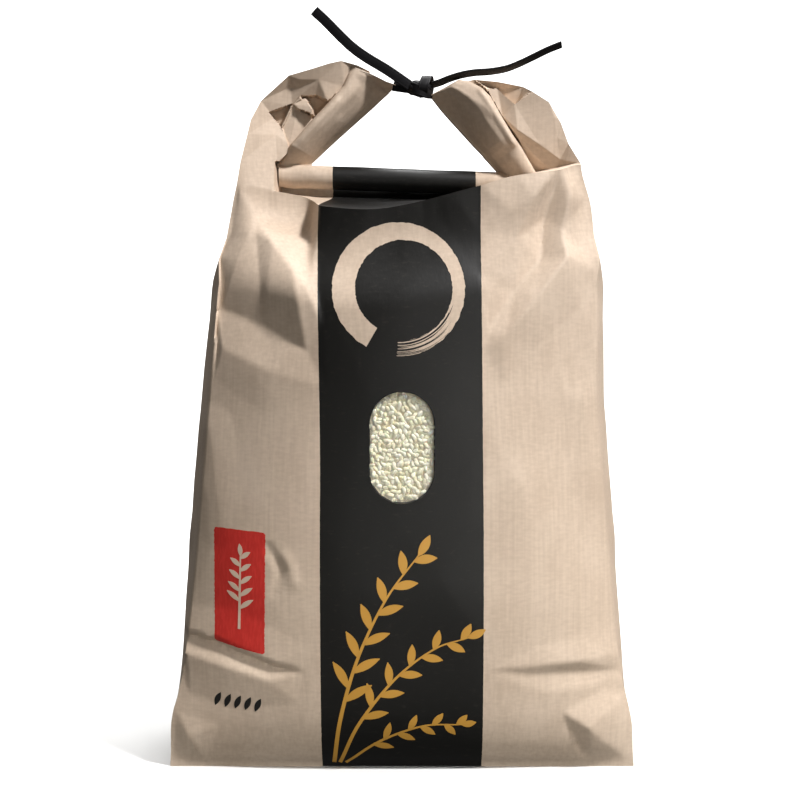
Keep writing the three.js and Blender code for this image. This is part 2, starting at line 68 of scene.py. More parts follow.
camera = bpy.data.objects.new("camera", bpy.data.cameras.new("camera"))
bpy.context.scene.collection.objects.link(camera)
camera.location = CAMERA_PLACE
aim = Vector(CAMERA_TARGET) - Vector(CAMERA_PLACE)
camera.rotation_euler = aim.to_track_quat("-Z", "Y").to_euler()
camera.data.sensor_width = SENSOR_MM
camera.data.lens = LENS_MM
camera.data.shift_x = PICTURE_SHIFT
bpy.context.scene.camera = camera
print("camera looks", round(math.degrees(math.asin(-aim.normalized().z)), 1), "degrees down")

# %% [markdown]
# ## Small helpers
#
# All shapes are worked out in millimetres, as whole numpy arrays, and become metres only
# when a mesh is made. `along` is a smooth curve through a few named pairs, and is used
# for every profile of the sack.

# %% Curves and blends
MM = 0.001


def along(table, place):
    """A smooth curve through (place, value) rows, level beyond both ends.

    Between two rows it is the cubic whose slope at each row is that of the straight line
    between the row's neighbours, and zero at the two ends.
    """
    rows = np.array(table, float)
    at, value = rows[:, 0], rows[:, 1]
    slope = np.zeros(len(at))
    slope[1:-1] = (value[2:] - value[:-2]) / (at[2:] - at[:-2])
    held = np.clip(np.asarray(place, float), at[0], at[-1])
    k = np.clip(np.searchsorted(at, held, side="left") - 1, 0, len(at) - 2)
    span = at[k + 1] - at[k]
    t = (held - at[k]) / span
    flat = value[k] * (1 + 2 * t) * (1 - t) ** 2 + value[k + 1] * t * t * (3 - 2 * t)
    return flat + span * (slope[k] * t * (1 - t) ** 2 - slope[k + 1] * t * t * (1 - t))


def mix(start, end, t):
    """Straight from start at t = 0 to end at t = 1."""
    return start + (end - start) * t


def smooth(t):
    """0 below 0, 1 above 1, and 3t² - 2t³ between."""
    held = np.clip(t, 0, 1)
    return held * held * (3 - 2 * held)


def points(x, y, z):
    """Three arrays, stretched to one shape, as one array of points."""
    return np.stack(np.broadcast_arrays(x, y, z), axis=-1).astype(float)


def lattice(first, second):
    """Two lists of parameters as two arrays over their grid."""
    return np.meshgrid(first, second, indexing="ij")


print("along check:", along([[0, 0], [1, 2], [3, 2]], [0, 1, 3]))

# %% [markdown]
# A mesh is made from grids of points. Each grid gives its quads, then grids that share an
# edge are merged at it, so a piece is one closed surface. An edge of a closed surface has
# exactly two faces, and the number of edges that haven't is printed as a check.

# %% Meshes from grids
MERGE_STEP = 0.002
SHARP_ANGLE = math.radians(48)


def grid_faces(rows, columns, first=0, flip=False):
    """The quads of a grid whose points are numbered row by row from first."""
    i, j = lattice(np.arange(rows - 1), np.arange(columns - 1))
    a = (first + i * columns + j).ravel()
    quads = np.stack([a, a + 1, a + columns + 1, a + columns], axis=1)
    return quads[:, ::-1] if flip else quads


def merge(place, faces):
    """One number for all points that coincide, and no face with a repeated corner.

    Points coincide when their coordinates round to the same step. The added share of a
    step keeps round numbers away from the places where the rounding changes.
    """
    keys = np.floor(place / MERGE_STEP + 0.3183).astype(np.int64)
    kept, first, where = np.unique(keys, axis=0, return_index=True, return_inverse=True)
    new = where.ravel()[faces]
    same = new == np.roll(new, 1, axis=1)
    loops = new[~same.any(axis=1)].tolist()
    for row in new[same.sum(axis=1) == 1].tolist():
        loops.append([v for k, v in enumerate(row) if v != row[k - 1]])
    return first, loops


def make_object(name, place, faces):
    """A smooth mesh object at the origin, from points in millimetres and corner lists."""
    mesh = bpy.data.meshes.new(name)
    mesh.from_pydata((place * MM).tolist(), [], faces)
    mesh.polygons.foreach_set("use_smooth", [True] * len(mesh.polygons))
    mesh.set_sharp_from_angle(angle=SHARP_ANGLE)
    mesh.update()
    piece = bpy.data.objects.new(name, mesh)
    bpy.context.scene.collection.objects.link(piece)
    return piece


def report(piece):
    """Prints a piece's size in faces, and how many of its edges lack two faces."""
    edges = np.empty(len(piece.data.loops), np.int64)
    piece.data.loops.foreach_get("edge_index", edges)
    open_edges = int((np.bincount(edges) != 2).sum())
    print(f"{piece.name}: {len(piece.data.polygons)} faces, {open_edges} open edges")


def patches_to_object(name, patches):
    """Joins (grid, flip) patches into one closed mesh."""
    place = []
    faces = []
    for grid, flip in patches:
        faces.append(grid_faces(grid.shape[0], grid.shape[1], sum(len(p) for p in place), flip))
        place.append(grid.reshape(-1, 3))
    place = np.concatenate(place)
    first, loops = merge(place, np.concatenate(faces))
    piece = make_object(name, place[first], loops)
    report(piece)
    return piece


def tube(rings):
    """The points and faces of a closed tube through rings of points, with flat ends.

    The faces are turned round where the signed volume, a sixth of the sum of a·(b × c) over
    the triangles, comes out negative.
    """
    count, sides = rings.shape[:2]
    place = rings.reshape(-1, 3)
    i, j = lattice(np.arange(count - 1), np.arange(sides))
    a, b = i * sides + j, i * sides + (j + 1) % sides
    quads = np.stack([a, b, b + sides, a + sides], axis=-1).reshape(-1, 4)
    p = place[quads] - place.mean(axis=0)
    halves = [np.einsum("ij,ij->i", p[:, 0], np.cross(p[:, k], p[:, k + 1])) for k in (1, 2)]
    ends = [list(range(sides))[::-1], list(range(len(place) - sides, len(place)))]
    faces = quads.tolist() + ends
    turned = sum(half.sum() for half in halves) < 0
    return place, [face[::-1] for face in faces] if turned else faces


def join(parts):
    """Several (points, faces) as one."""
    faces = []
    first = 0
    for place, loops in parts:
        faces += [[v + first for v in loop] for loop in loops]
        first += len(place)
    return np.concatenate([place for place, _ in parts]), faces


print("quads of a 3 by 3 grid:", len(grid_faces(3, 3)))

# %% [markdown]
# Materials are node trees. `set_sockets` puts plain values on a shader, `calc` adds one step
# of arithmetic, and `noise` adds a noise texture over the object's own coordinates, stretched
# by a different number of cells per metre along each axis.

# %% Small helpers for materials
def new_material(name, **values):
    """A material, its node tree and its Principled shader with the given socket values."""
    paint = bpy.data.materials.new(name)
    paint.use_nodes = True
    shader = paint.node_tree.nodes["Principled BSDF"]
    for key, value in values.items():
        shader.inputs[key.replace("_", " ")].default_value = value
    return paint, paint.node_tree, shader


def feed(tree, socket, value):
    """Links a socket to another one, or sets it to a plain value."""
    if isinstance(value, bpy.types.NodeSocket):
        tree.links.new(value, socket)
    else:
        socket.default_value = value


def calc(tree, operation, *values):
    """One Math node with its inputs in order. Gives its output."""
    step = tree.nodes.new("ShaderNodeMath")
    step.operation = operation
    for socket, value in zip(step.inputs, values):
        feed(tree, socket, value)
    return step.outputs[0]


def noise(tree, coordinates, cells, detail=2.0, offset=(0, 0, 0)):
    """Noise from 0 to 1 with so many cells per metre along x, y and z."""
    place = tree.nodes.new("ShaderNodeMapping")
    place.inputs["Scale"].default_value = cells
    place.inputs["Location"].default_value = offset
    tree.links.new(coordinates, place.inputs["Vector"])
    texture = tree.nodes.new("ShaderNodeTexNoise")
    texture.inputs["Scale"].default_value = 1.0
    texture.inputs["Detail"].default_value = detail
    tree.links.new(place.outputs["Vector"], texture.inputs["Vector"])
    return texture.outputs["Fac"]


def blend_colours(tree, share, first, second):
    """The first colour where share is 0 and the second where it is 1."""
    step = tree.nodes.new("ShaderNodeMix")
    step.data_type = "RGBA"
    feed(tree, step.inputs["Factor"], share)
    feed(tree, step.inputs["A"], first)
    feed(tree, step.inputs["B"], second)
    return step.outputs["Result"]


def ramp(tree, value, low_end, high_end):
    """0 below low_end, 1 above high_end and a smooth step between."""
    step = tree.nodes.new("ShaderNodeMapRange")
    step.interpolation_type = "SMOOTHSTEP"
    feed(tree, step.inputs["Value"], value)
    step.inputs["From Min"].default_value = low_end
    step.inputs["From Max"].default_value = high_end
    return step.outputs["Result"]


print("materials so far:", len(bpy.data.materials))

# %% [markdown]
# ## The tie
#
# The tie is a stiff, flat, ribbed band of black plastic. It lies inside the roll, comes out
# at the tips of the ears and is knotted in the middle, and both tails stand out freely. Each
# tail is a flat section carried along a route of measured points. Its width lies along a
# fixed arrow, made square to the route at each step and then turned by the tail's lean.

# %% A flat ribbed section carried along a route
TIE_WIDTH = 5.4
TIE_THICKNESS = 1.4
TIE_RIBS = 5
TIE_SIDES = 44
TIE_STEP = 0.8


def route_points(route, step):
    """Even steps along a smooth curve through the route's points.

    Each coordinate is a Catmull-Rom cubic of the length walked so far.
    """
    rows = np.array(route, float)
    padded = np.concatenate([[2 * rows[0] - rows[1]], rows, [2 * rows[-1] - rows[-2]]])
    t = np.linspace(0, 1, 24, endpoint=False)[:, None]
    a, b, c, d = (padded[k:len(rows) - 1 + k, None, :] for k in range(4))
    fine = 0.5 * (2 * b + (c - a) * t + (2 * a - 5 * b + 4 * c - d) * t ** 2
                  + (3 * b - a - 3 * c + d) * t ** 3)
    line = np.concatenate([fine.reshape(-1, 3), rows[-1:]])
    walked = np.concatenate([[0], np.cumsum(np.linalg.norm(np.diff(line, axis=0), axis=1))])
    even = np.linspace(0, walked[-1], max(3, int(walked[-1] / step)))
    return np.stack([np.interp(even, walked, line[:, k]) for k in range(3)], axis=-1)


def tie_section():
    """Points round the flat section: (across, up).

    A rounded rectangle, the two sides of which swell and sink once for each rib, as
    0.78 + 0.22 |sin| of the distance across.
    """
    angle = np.linspace(0, 2 * np.pi, TIE_SIDES, endpoint=False)
    across = np.sign(np.cos(angle)) * np.abs(np.cos(angle)) ** 0.55
    up = np.sign(np.sin(angle)) * np.abs(np.sin(angle)) ** 0.4
    swell = 0.78 + 0.22 * np.abs(np.sin(0.5 * np.pi * TIE_RIBS * (across + 1)))
    return np.stack([across * TIE_WIDTH / 2, up * swell * TIE_THICKNESS / 2], axis=-1)


def carry(line, section, lean=0.0, across=(0, 0, 1)):
    """Rings of the section along a line, its width along the arrow, then leaned."""
    ahead = np.gradient(line, axis=0)
    ahead /= np.linalg.norm(ahead, axis=1)[:, None]
    arrow = np.array(across, float)
    side = arrow - (ahead @ arrow)[:, None] * ahead
    side /= np.linalg.norm(side, axis=1)[:, None]
    out = np.cross(side, ahead)
    turned_side = side * math.cos(lean) + out * math.sin(lean)
    turned_out = out * math.cos(lean) - side * math.sin(lean)
    return (line[:, None] + section[None, :, :1] * turned_side[:, None]
            + section[None, :, 1:] * turned_out[:, None])


print("section size in mm:", np.ptp(tie_section(), axis=0).round(2))

# %% [markdown]
# The finish of the tie is nearly black, half glossy, with a little unevenness in its gloss
# from handling.

# %% Black plastic
tie_plastic, tree, shader = new_material("black_plastic", Base_Color=(0.007, 0.0065, 0.0075, 1),
                                         Specular_IOR_Level=0.22)
place = tree.nodes.new("ShaderNodeTexCoord").outputs["Object"]
uneven = noise(tree, place, (420, 420, 420), detail=3)
feed(tree, shader.inputs["Roughness"], calc(tree, "MULTIPLY_ADD", uneven, 0.22, 0.36))
print("made", tie_plastic.name)

# %% The two tails
LEFT_TAIL = [[4.4, -10, 352.2], [0.7, -10.4, 354.7], [-3.8, -10.6, 357.8], [-8.2, -10.6, 360.7],
             [-12.5, -10.4, 363.3], [-16.9, -10.2, 365.9], [-21.8, -10, 369.1],
             [-26.6, -9.8, 372.8], [-30.7, -9.5, 376.6], [-34.6, -9.2, 380.5],
             [-39.8, -8.6, 385.8], [-45.8, -8, 391.4]]
RIGHT_TAIL = [[16, -9, 353], [20, -9.2, 354.2], [25, -9.4, 356.2], [31, -9.4, 358],
              [38, -9.4, 359.2], [46, -9.2, 359.8], [54, -9, 361.2], [61, -8.6, 363.8],
              [69, -8.2, 367.6], [76, -8, 371], [83.4, -7.6, 374]]
LEFT_LEAN = 0.0
RIGHT_LEAN = -1.05


def tie_tail(name, node, route, lean):
    """One free tail: the flat section carried along its route and turned by the tail's lean."""
    line = route_points(route, TIE_STEP)
    piece = make_object(name, *tube(carry(line, tie_section(), lean)))
    piece.data.materials.append(tie_plastic)
    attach(piece, "root")
    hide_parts(node)
    report(piece)


tie_tail("tail_left", "tie_tail_left", LEFT_TAIL, LEFT_LEAN)
tie_tail("tail_right", "tie_tail_right", RIGHT_TAIL, RIGHT_LEAN)

# %% [markdown]
# The knot is the same band pulled tight: a short link from the tip of the left ear, a lump
# where the band crosses itself, a wrap that comes over the top and ends in a nub, and
# a band across the front. The lump is a ball, squashed, with ridges where turns of the
# band lie side by side.

# %% The knot
LINK = [[-4.6, -6.6, 352.6], [0, -7.6, 351.8], [4, -8, 351.2]]
LINK_LEAN = 0.25
KNOT_WRAP = [[11.6, -8, 347], [10.8, -12.2, 349.6], [11.4, -12.6, 353], [13.2, -9.4, 357],
             [14.2, -5, 355], [14, -3.6, 351], [13, -5, 348]]
KNOT_BAND = [[2.6, -6.4, 352.6], [6, -11.4, 351.2], [9.4, -12.4, 349.6], [13, -11, 348.4],
             [15.4, -7.4, 348.6]]
HEART_CENTRE = (9.0, -8.0, 351.2)
HEART_HALF = (6.6, 4.6, 4.3)
HEART_GRID = (40, 48)


def knot_heart():
    """A ball of half sizes HEART_HALF with rounded turns: the radius is 1 + 0.05 cos(7a + 3b)."""
    polar, turn = lattice(np.linspace(0.04, np.pi - 0.04, HEART_GRID[0]),
                          np.linspace(0, 2 * np.pi, HEART_GRID[1], endpoint=False))
    radius = 1 + 0.05 * np.cos(7 * polar + 3 * turn)
    ball = points(np.cos(polar), np.sin(polar) * np.cos(turn), np.sin(polar) * np.sin(turn))
    return np.array(HEART_CENTRE) + ball * radius[..., None] * np.array(HEART_HALF)


section = tie_section()
parts = [tube(knot_heart()),
         tube(carry(route_points(LINK, TIE_STEP), section, LINK_LEAN)),
         tube(carry(route_points(KNOT_WRAP, TIE_STEP), section, across=(1, 0, 0))),
         tube(carry(route_points(KNOT_BAND, TIE_STEP), section))]
knot = make_object("knot", *join(parts))
knot.data.materials.append(tie_plastic)
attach(knot, "root")
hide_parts("tie_knot")
report(knot)

# %% [markdown]
# ## Kraft paper and its print
#
# The sack is of machine-made kraft: light brown, with fine upright ribs, short fibres and
# a cloudy density. All of this is noise, stretched upright by a different number of cells
# per metre along x, y and z. The ribs and fibres also go into a bump of a few hundredths
# of a millimetre.
#
# The print is worked out from the object's coordinates too, so its edges stay sharp however
# coarse the mesh is. Only the black band needs a value of its own at each point of the paper:
# `print_edge`, the distance in millimetres from the band's edge, positive inside the band.

# %% Colours and sizes of the print
KRAFT_LIGHT = (0.68, 0.55, 0.43, 1)
KRAFT_DARK = (0.55, 0.43, 0.325, 1)
BAND_BLACK = (0.0065, 0.006, 0.005, 1)
BAND_WORN = (0.016, 0.014, 0.011, 1)
STAMP_RED = (0.57, 0.032, 0.024, 1)
STAMP_RED_LIGHT = (0.65, 0.042, 0.032, 1)
INK_GLOSS = -0.12
PRINT_FRONT_Y = -20.0
RING_CENTRE = (-1.0, 247.0)
RING_RADIUS = 29.0
RING_START = -120.0
RING_WIDTH = 0.185
RING_NARROWS = -0.075
RING_SWELLS = 7.5
RING_SWELL = 0.028
RING_ROUGH = 0.05
RING_DRIFT = 0.07
RING_NEAREST = 0.96
RING_DRY = 0.56
RING_END = 0.955
STAMP_CORNERS = [(-95.6, 126.2), (-68.6, 124.6), (-69.4, 62.6), (-95.4, 67.8)]
STAMP_ROUNDING = 1.6


def axis_values(tree):
    """Object coordinates, and their x, y and z in millimetres."""
    place = tree.nodes.new("ShaderNodeTexCoord").outputs["Object"]
    split = tree.nodes.new("ShaderNodeSeparateXYZ")
    tree.links.new(place, split.inputs[0])
    return place, [calc(tree, "MULTIPLY", split.outputs[k], 1000.0) for k in range(3)]


print("brush ring of radius", RING_RADIUS, "mm")

# %% [markdown]
# A plain ring, as drawn with a wide brush in one turn, is printed at the top of the band. In
# polar coordinates about its centre a ring is where the distance is near one radius. The
# stroke starts wide at the lower left, runs clockwise and gets narrower, and its bristles
# part toward the end: streaks of noise along the turn, where more and more is cut away.

# %% The brush ring
def brush_ring(tree, x, z):
    """1 on the stroke of the ring and 0 off it.

    Distances are in radii of the ring, and turn goes 0 to 1 from the start round to it again.
    """
    u = calc(tree, "DIVIDE", calc(tree, "SUBTRACT", x, RING_CENTRE[0]), RING_RADIUS)
    v = calc(tree, "DIVIDE", calc(tree, "SUBTRACT", z, RING_CENTRE[1]), RING_RADIUS)
    away = calc(tree, "SQRT", calc(tree, "ADD", calc(tree, "MULTIPLY", u, u),
                                   calc(tree, "MULTIPLY", v, v)))
    angle = calc(tree, "DIVIDE", calc(tree, "ARCTAN2", v, u), 2 * math.pi)
    turn = calc(tree, "FRACT", calc(tree, "SUBTRACT", RING_START / 360 + 2, angle))
    polar = tree.nodes.new("ShaderNodeCombineXYZ")
    feed(tree, polar.inputs[0], away)
    feed(tree, polar.inputs[1], turn)
    rough = noise(tree, polar.outputs[0], (8, 60, 1), detail=4)
    width = calc(tree, "MULTIPLY_ADD", turn, RING_NARROWS, RING_WIDTH)
    swell = calc(tree, "SINE", calc(tree, "MULTIPLY", turn, RING_SWELLS))
    width = calc(tree, "MULTIPLY_ADD", swell, RING_SWELL, width)
    width = calc(tree, "MULTIPLY_ADD", calc(tree, "SUBTRACT", rough, 0.5), RING_ROUGH, width)
    drift = calc(tree, "MULTIPLY_ADD", turn, RING_DRIFT, RING_NEAREST)
    off = calc(tree, "ABSOLUTE", calc(tree, "SUBTRACT", away, drift))
    inside = calc(tree, "LESS_THAN", off, width)
    bristles = noise(tree, polar.outputs[0], (46, 3.2, 1), detail=3)
    dry = calc(tree, "MULTIPLY", ramp(tree, turn, 0.3, 0.98), RING_DRY)
    inked = calc(tree, "GREATER_THAN", bristles, dry)
    ended = calc(tree, "LESS_THAN", calc(tree, "MULTIPLY_ADD", rough, 0.06, turn), RING_END)
    return calc(tree, "MULTIPLY", calc(tree, "MULTIPLY", inside, inked), ended)


# %% [markdown]
# The red stamp is a leaning four-sided field with rounded corners. The signed distance to
# each side is one product of the place with the side's outward arrow. Where two sides meet,
# the length of both distances together rounds the corner off.

# %% The red stamp
def stamp_field(tree, x, z, edge_noise):
    """1 inside the stamp's outline and 0 outside."""
    distances = []
    corners = STAMP_CORNERS
    for (x0, z0), (x1, z1) in zip(corners, corners[1:] + corners[:1]):
        length = math.hypot(x1 - x0, z1 - z0)
        nx, nz = (z0 - z1) / length, (x1 - x0) / length
        shift = STAMP_ROUNDING - nx * x0 - nz * z0
        along_z = calc(tree, "MULTIPLY_ADD", z, nz, shift)
        distances.append(calc(tree, "MULTIPLY_ADD", x, nx, along_z))
    total = None
    for distance in distances:
        beyond = calc(tree, "MAXIMUM", distance, 0.0)
        square = calc(tree, "MULTIPLY", beyond, beyond)
        total = square if total is None else calc(tree, "ADD", total, square)
    worn = calc(tree, "MULTIPLY_ADD", edge_noise, 0.9, calc(tree, "SQRT", total))
    return calc(tree, "LESS_THAN", worn, STAMP_ROUNDING + 0.45)


# %% Kraft paper
def kraft_material(name, printed):
    """Ribbed, fibrous brown paper, with the front's print over it where that is asked."""
    paint, tree, shader = new_material(name, Specular_IOR_Level=0.32)
    place, (x, y, z) = axis_values(tree)
    ribs = noise(tree, place, (640, 640, 16), detail=3)
    weave = noise(tree, place, (900, 900, 210), detail=2, offset=(3, 1, 7))
    fibres = noise(tree, place, (260, 260, 700), detail=5, offset=(9, 4, 2))
    clouds = noise(tree, place, (34, 34, 26), detail=3, offset=(5, 5, 5))
    grain = calc(tree, "MULTIPLY_ADD", ribs, 0.34, calc(tree, "MULTIPLY", fibres, 0.36))
    tone = calc(tree, "MULTIPLY_ADD", clouds, 0.36, grain)
    paper = blend_colours(tree, ramp(tree, tone, 0.34, 0.74), KRAFT_DARK, KRAFT_LIGHT)
    bump = tree.nodes.new("ShaderNodeBump")
    bump.inputs["Distance"].default_value = 0.00006
    bump.inputs["Strength"].default_value = 0.75
    height = calc(tree, "MULTIPLY_ADD", ribs, 0.8, calc(tree, "MULTIPLY", weave, 0.55))
    feed(tree, bump.inputs["Height"], height)
    tree.links.new(bump.outputs["Normal"], shader.inputs["Normal"])
    roughness = calc(tree, "MULTIPLY_ADD", fibres, 0.2, 0.52)
    if printed:
        paper, roughness = add_print(tree, x, y, z, paper, roughness, fibres, weave)
    feed(tree, shader.inputs["Base Color"], paper)
    feed(tree, shader.inputs["Roughness"], roughness)
    return paint


def add_print(tree, x, y, z, paper, roughness, fibres, weave):
    """The black band with its brush ring, and the red stamp, over the paper's colour."""
    edge = tree.nodes.new("ShaderNodeAttribute")
    edge.attribute_name = "print_edge"
    bled = calc(tree, "MULTIPLY_ADD", calc(tree, "SUBTRACT", weave, 0.5), 0.3,
                edge.outputs["Fac"])
    band = calc(tree, "GREATER_THAN", bled, 0.0)
    front = calc(tree, "LESS_THAN", y, PRINT_FRONT_Y)
    ring = calc(tree, "MULTIPLY", brush_ring(tree, x, z), front)
    band = calc(tree, "MULTIPLY", band, calc(tree, "SUBTRACT", 1.0, ring))
    ink = blend_colours(tree, ramp(tree, fibres, 0.56, 0.8), BAND_BLACK, BAND_WORN)
    stamp = calc(tree, "MULTIPLY", stamp_field(tree, x, z, fibres), front)
    red = blend_colours(tree, ramp(tree, weave, 0.35, 0.75), STAMP_RED, STAMP_RED_LIGHT)
    colour = blend_colours(tree, stamp, blend_colours(tree, band, paper, ink), red)
    inked = calc(tree, "MAXIMUM", band, stamp)
    return colour, calc(tree, "MULTIPLY_ADD", inked, INK_GLOSS, roughness)


kraft = kraft_material("printed_kraft", True)
print(kraft.name, "has", len(kraft.node_tree.nodes), "nodes")

# %% [markdown]
# ## Sizes of the paper body
#
# The main sizes repeat those of the construction model: a base of 240 by 85 mm, a full
# depth of 132 mm, shoulders at 245 mm, and the kinks of the rolled mouth at 312 mm on the
# left and 307 mm on the right. The foot of the front, the lip and the line under the roll
# have rows of their own here. The upright profiles are rows of height and size. Across the
# front, a column runs from -1 at the left corner to 1 at the right one.

# %% Sizes
BASE_HALF_WIDTH = 120.0
BASE_HALF_DEPTH = 42.5
FULL_HALF_DEPTH = 66.0
SHOULDER_Z = 245.0
LIP_Z = 288.0
LIP_DEPTH = 45.0
ROLL_Z = 296.0
ROLL_FALL = 4
BACK_RISE = 9.0
RIDGE_Z = 312.0
MOUTH_HALF_GAP = 3.0
LIP_BEND_START = 0.82
LIP_BEND_SPAN = 0.18
BULGE_POWER = [[0, 3.0], [60, 3.2], [120, 3.0], [190, 2.2], [245, 1.8], [290, 2.1]]

CORNER_X = [[0, BASE_HALF_WIDTH], [12, 119.4], [22, 119], [30, 117.6], [38, 115.2], [58, 111.5],
            [100, 106.5], [150, 101.5], [200, 97.5], [SHOULDER_Z, 93.5], [270, 90.3],
            [290, 87.2], [RIDGE_Z, 83.5]]
RIGHT_EXTRA = [[0, 0], [180, 0.5], [210, 2.4], [SHOULDER_Z, 5.6], [285, 10], [RIDGE_Z, 8.6]]
CORNER_Y = [[0, BASE_HALF_DEPTH], [30, 44], [100, 43], [190, 42], [SHOULDER_Z, 38], [290, 29],
            [RIDGE_Z, 24]]
SIDE_OUT = [[0, 0], [30, 1.5], [58, 5.6], [100, 7.8], [150, 8.8], [200, 7.8],
            [SHOULDER_Z, 6.6], [275, 3.5], [300, 0], [RIDGE_Z, 0]]
GUSSET_IN = [[0, 0], [SHOULDER_Z, 0], [270, 1.5], [295, 7], [RIDGE_Z, 12]]
FRONT_DEPTH = [[0, BASE_HALF_DEPTH], [7, 48], [16, 53.5], [32, 58.5], [60, 62.5],
               [100, FULL_HALF_DEPTH], [190, FULL_HALF_DEPTH], [SHOULDER_Z, 61.5],
               [LIP_Z, 46], [RIDGE_Z, 40]]
BACK_DEPTH = [[0, BASE_HALF_DEPTH], [12, 47], [30, 54], [60, 61.5], [100, FULL_HALF_DEPTH],
              [190, FULL_HALF_DEPTH], [SHOULDER_Z, 61.5], [264, 53], [LIP_Z, 34], [RIDGE_Z, 26]]
LIP_HEIGHT = [[-1, 300], [-0.76, 297], [-0.6, 294.5], [-0.53, 292], [-0.47, 288.6], [-0.1, 287.3],
              [0.41, 298.5], [0.6, 303.5], [0.86, 307], [1, 310.5]]
LIP_FORWARD = [[-1, 26.5], [-0.76, 21], [-0.6, 18], [-0.53, 22], [-0.47, 40], [0, LIP_DEPTH],
               [0.41, LIP_DEPTH], [0.6, 42], [0.86, 35], [1, 25]]
BACK_LIP_HEIGHT = [[-1, 299], [-0.7, 292], [0, 291], [0.7, 295], [1, 304]]

# Columns and rows of the fine surface
COLUMNS_EAR = 24
COLUMNS_MIDDLE = 110
COLUMNS_SIDE = 28
ROWS_BODY = 200
ROWS_LIP = 18
ROWS_EAR = 190
COLUMNS_FINE = 90
LIP_SHARE = ROWS_BODY / (ROWS_BODY + ROWS_LIP)
print("rows up to the lip:", ROWS_BODY, "spacing in mm:", round(LIP_Z / ROWS_BODY, 2))

# %% [markdown]
# The ears are fans of paper about the two kinks of the roll. Their fronts are flat facets
# between named corners, each an x, a z and a depth toward the front. The facets are
# painted in order, so that a flap which lies over a pocket comes after it. The rim runs
# straight from corner to corner, and between the front and the back rim the side gusset is
# folded in by so many millimetres.

# %% The ears' corners
LEFT_CORNERS = {
    "foot": (-83.3, 312.0, 24.0), "side": (-80.0, 326.2, 20.5), "cross": (-78.3, 334.0, 18.5),
    "neck": (-73.3, 344.1, 14.5), "kink": (-65.0, 312.0, 16.0), "a_low": (-65.8, 327.0, 12),
    "a_high": (-67.4, 335.5, 10.5), "sliver_low": (-58.6, 321.3, 12.5),
    "sliver_high": (-63.2, 331.0, 9.5), "pleat_out": (-69.3, 338.5, 11.5),
    "pit_high": (-57.8, 343.0, 3), "pit_low": (-63.3, 331.2, 4),
    "facet_low": (-57.6, 342.6, 8), "notch": (-58.0, 351.9, 9.5),
    "shoulder": (-58.8, 357.2, 14), "ridge_end": (-53.8, 355.5, 12.5),
    "under": (-54.8, 350.9, 9.5), "flap_top": (-53.2, 347.3, 9),
    "below_left": (-62.6, 330.6, 8.8), "below_high": (-57.0, 342.3, 8.6),
    "below_mid": (-55.0, 340.1, 8), "below_right": (-47.4, 336.9, 8),
    "fold_low": (-47.2, 334.1, 8.5), "fold_foot": (-58.9, 320.9, 11.5),
    "flap_a": (-56.5, 342.9, 9.6), "flap_b": (-50.6, 346.5, 8.5),
    "flap_c": (-47.1, 341.1, 12), "flap_d": (-46.3, 337.1, 13),
    "flap_e": (-54.8, 340.6, 10.5), "pocket_a": (-51.1, 347.0, 1),
    "pocket_b": (-45.3, 347.6, 1), "pocket_c": (-39.0, 344.8, 1.5),
    "pocket_d": (-46.9, 333.6, 1.5), "pocket_e": (-49.5, 339.0, -0.5),
    "wall_b": (-45.3, 347.4, 8), "wall_c": (-39.0, 344.6, 8.5),
    "crown_a": (-47.0, 360.7, 13.0), "crown_b": (-38.3, 363.5, 12.5),
    "peak": (-31.8, 365.2, 10.5), "inner_peak": (-26.0, 363.4, 6.5),
    "fold_high": (-30.0, 352.4, 6.5), "valley": (-43.4, 355.3, 11.0),
    "back_a": (-23.5, 363.4, 7), "back_b": (-16.9, 360.3, 6), "back_c": (-9.2, 356.6, 5),
    "pit_out": (-69.3, 338.5, 4.5),
    "behind_a": (-28.0, 352.0, -1.0), "behind_b": (-12.0, 348.0, -1.0),
}
LEFT_FACETS = [
    "foot side a_low", "foot a_low kink", "side cross a_high", "side a_high a_low",
    "cross neck a_high", "neck shoulder notch", "neck notch facet_low",
    "neck facet_low pleat_out", "neck pleat_out a_high", "a_high pleat_out sliver_high",
    "shoulder ridge_end under", "shoulder under notch", "notch under flap_top",
    "notch flap_top facet_low", "ridge_end crown_a valley", "crown_a crown_b valley",
    "crown_b peak valley", "ridge_end valley under", "under valley flap_top",
    "flap_top valley wall_b", "valley peak fold_high", "peak inner_peak fold_high",
    "valley fold_high wall_c", "valley wall_c wall_b", "pit_out pit_low pit_high",
    "pocket_a pocket_b pocket_e", "pocket_b pocket_c pocket_e", "pocket_c pocket_d pocket_e",
    "pocket_a pocket_e flap_top", "pocket_e pocket_d below_mid", "a_high sliver_high a_low",
    "a_low sliver_high sliver_low", "a_low sliver_low kink", "below_left below_high below_mid",
    "below_left below_mid fold_foot", "below_mid below_right fold_foot",
    "below_right fold_low fold_foot", "kink sliver_low fold_foot", "flap_a flap_b flap_c",
    "flap_a flap_c flap_e", "flap_e flap_c flap_d", "inner_peak peak back_a",
    "inner_peak back_a behind_a", "back_a back_b behind_a", "back_b behind_b behind_a",
    "back_b back_c behind_b",
]
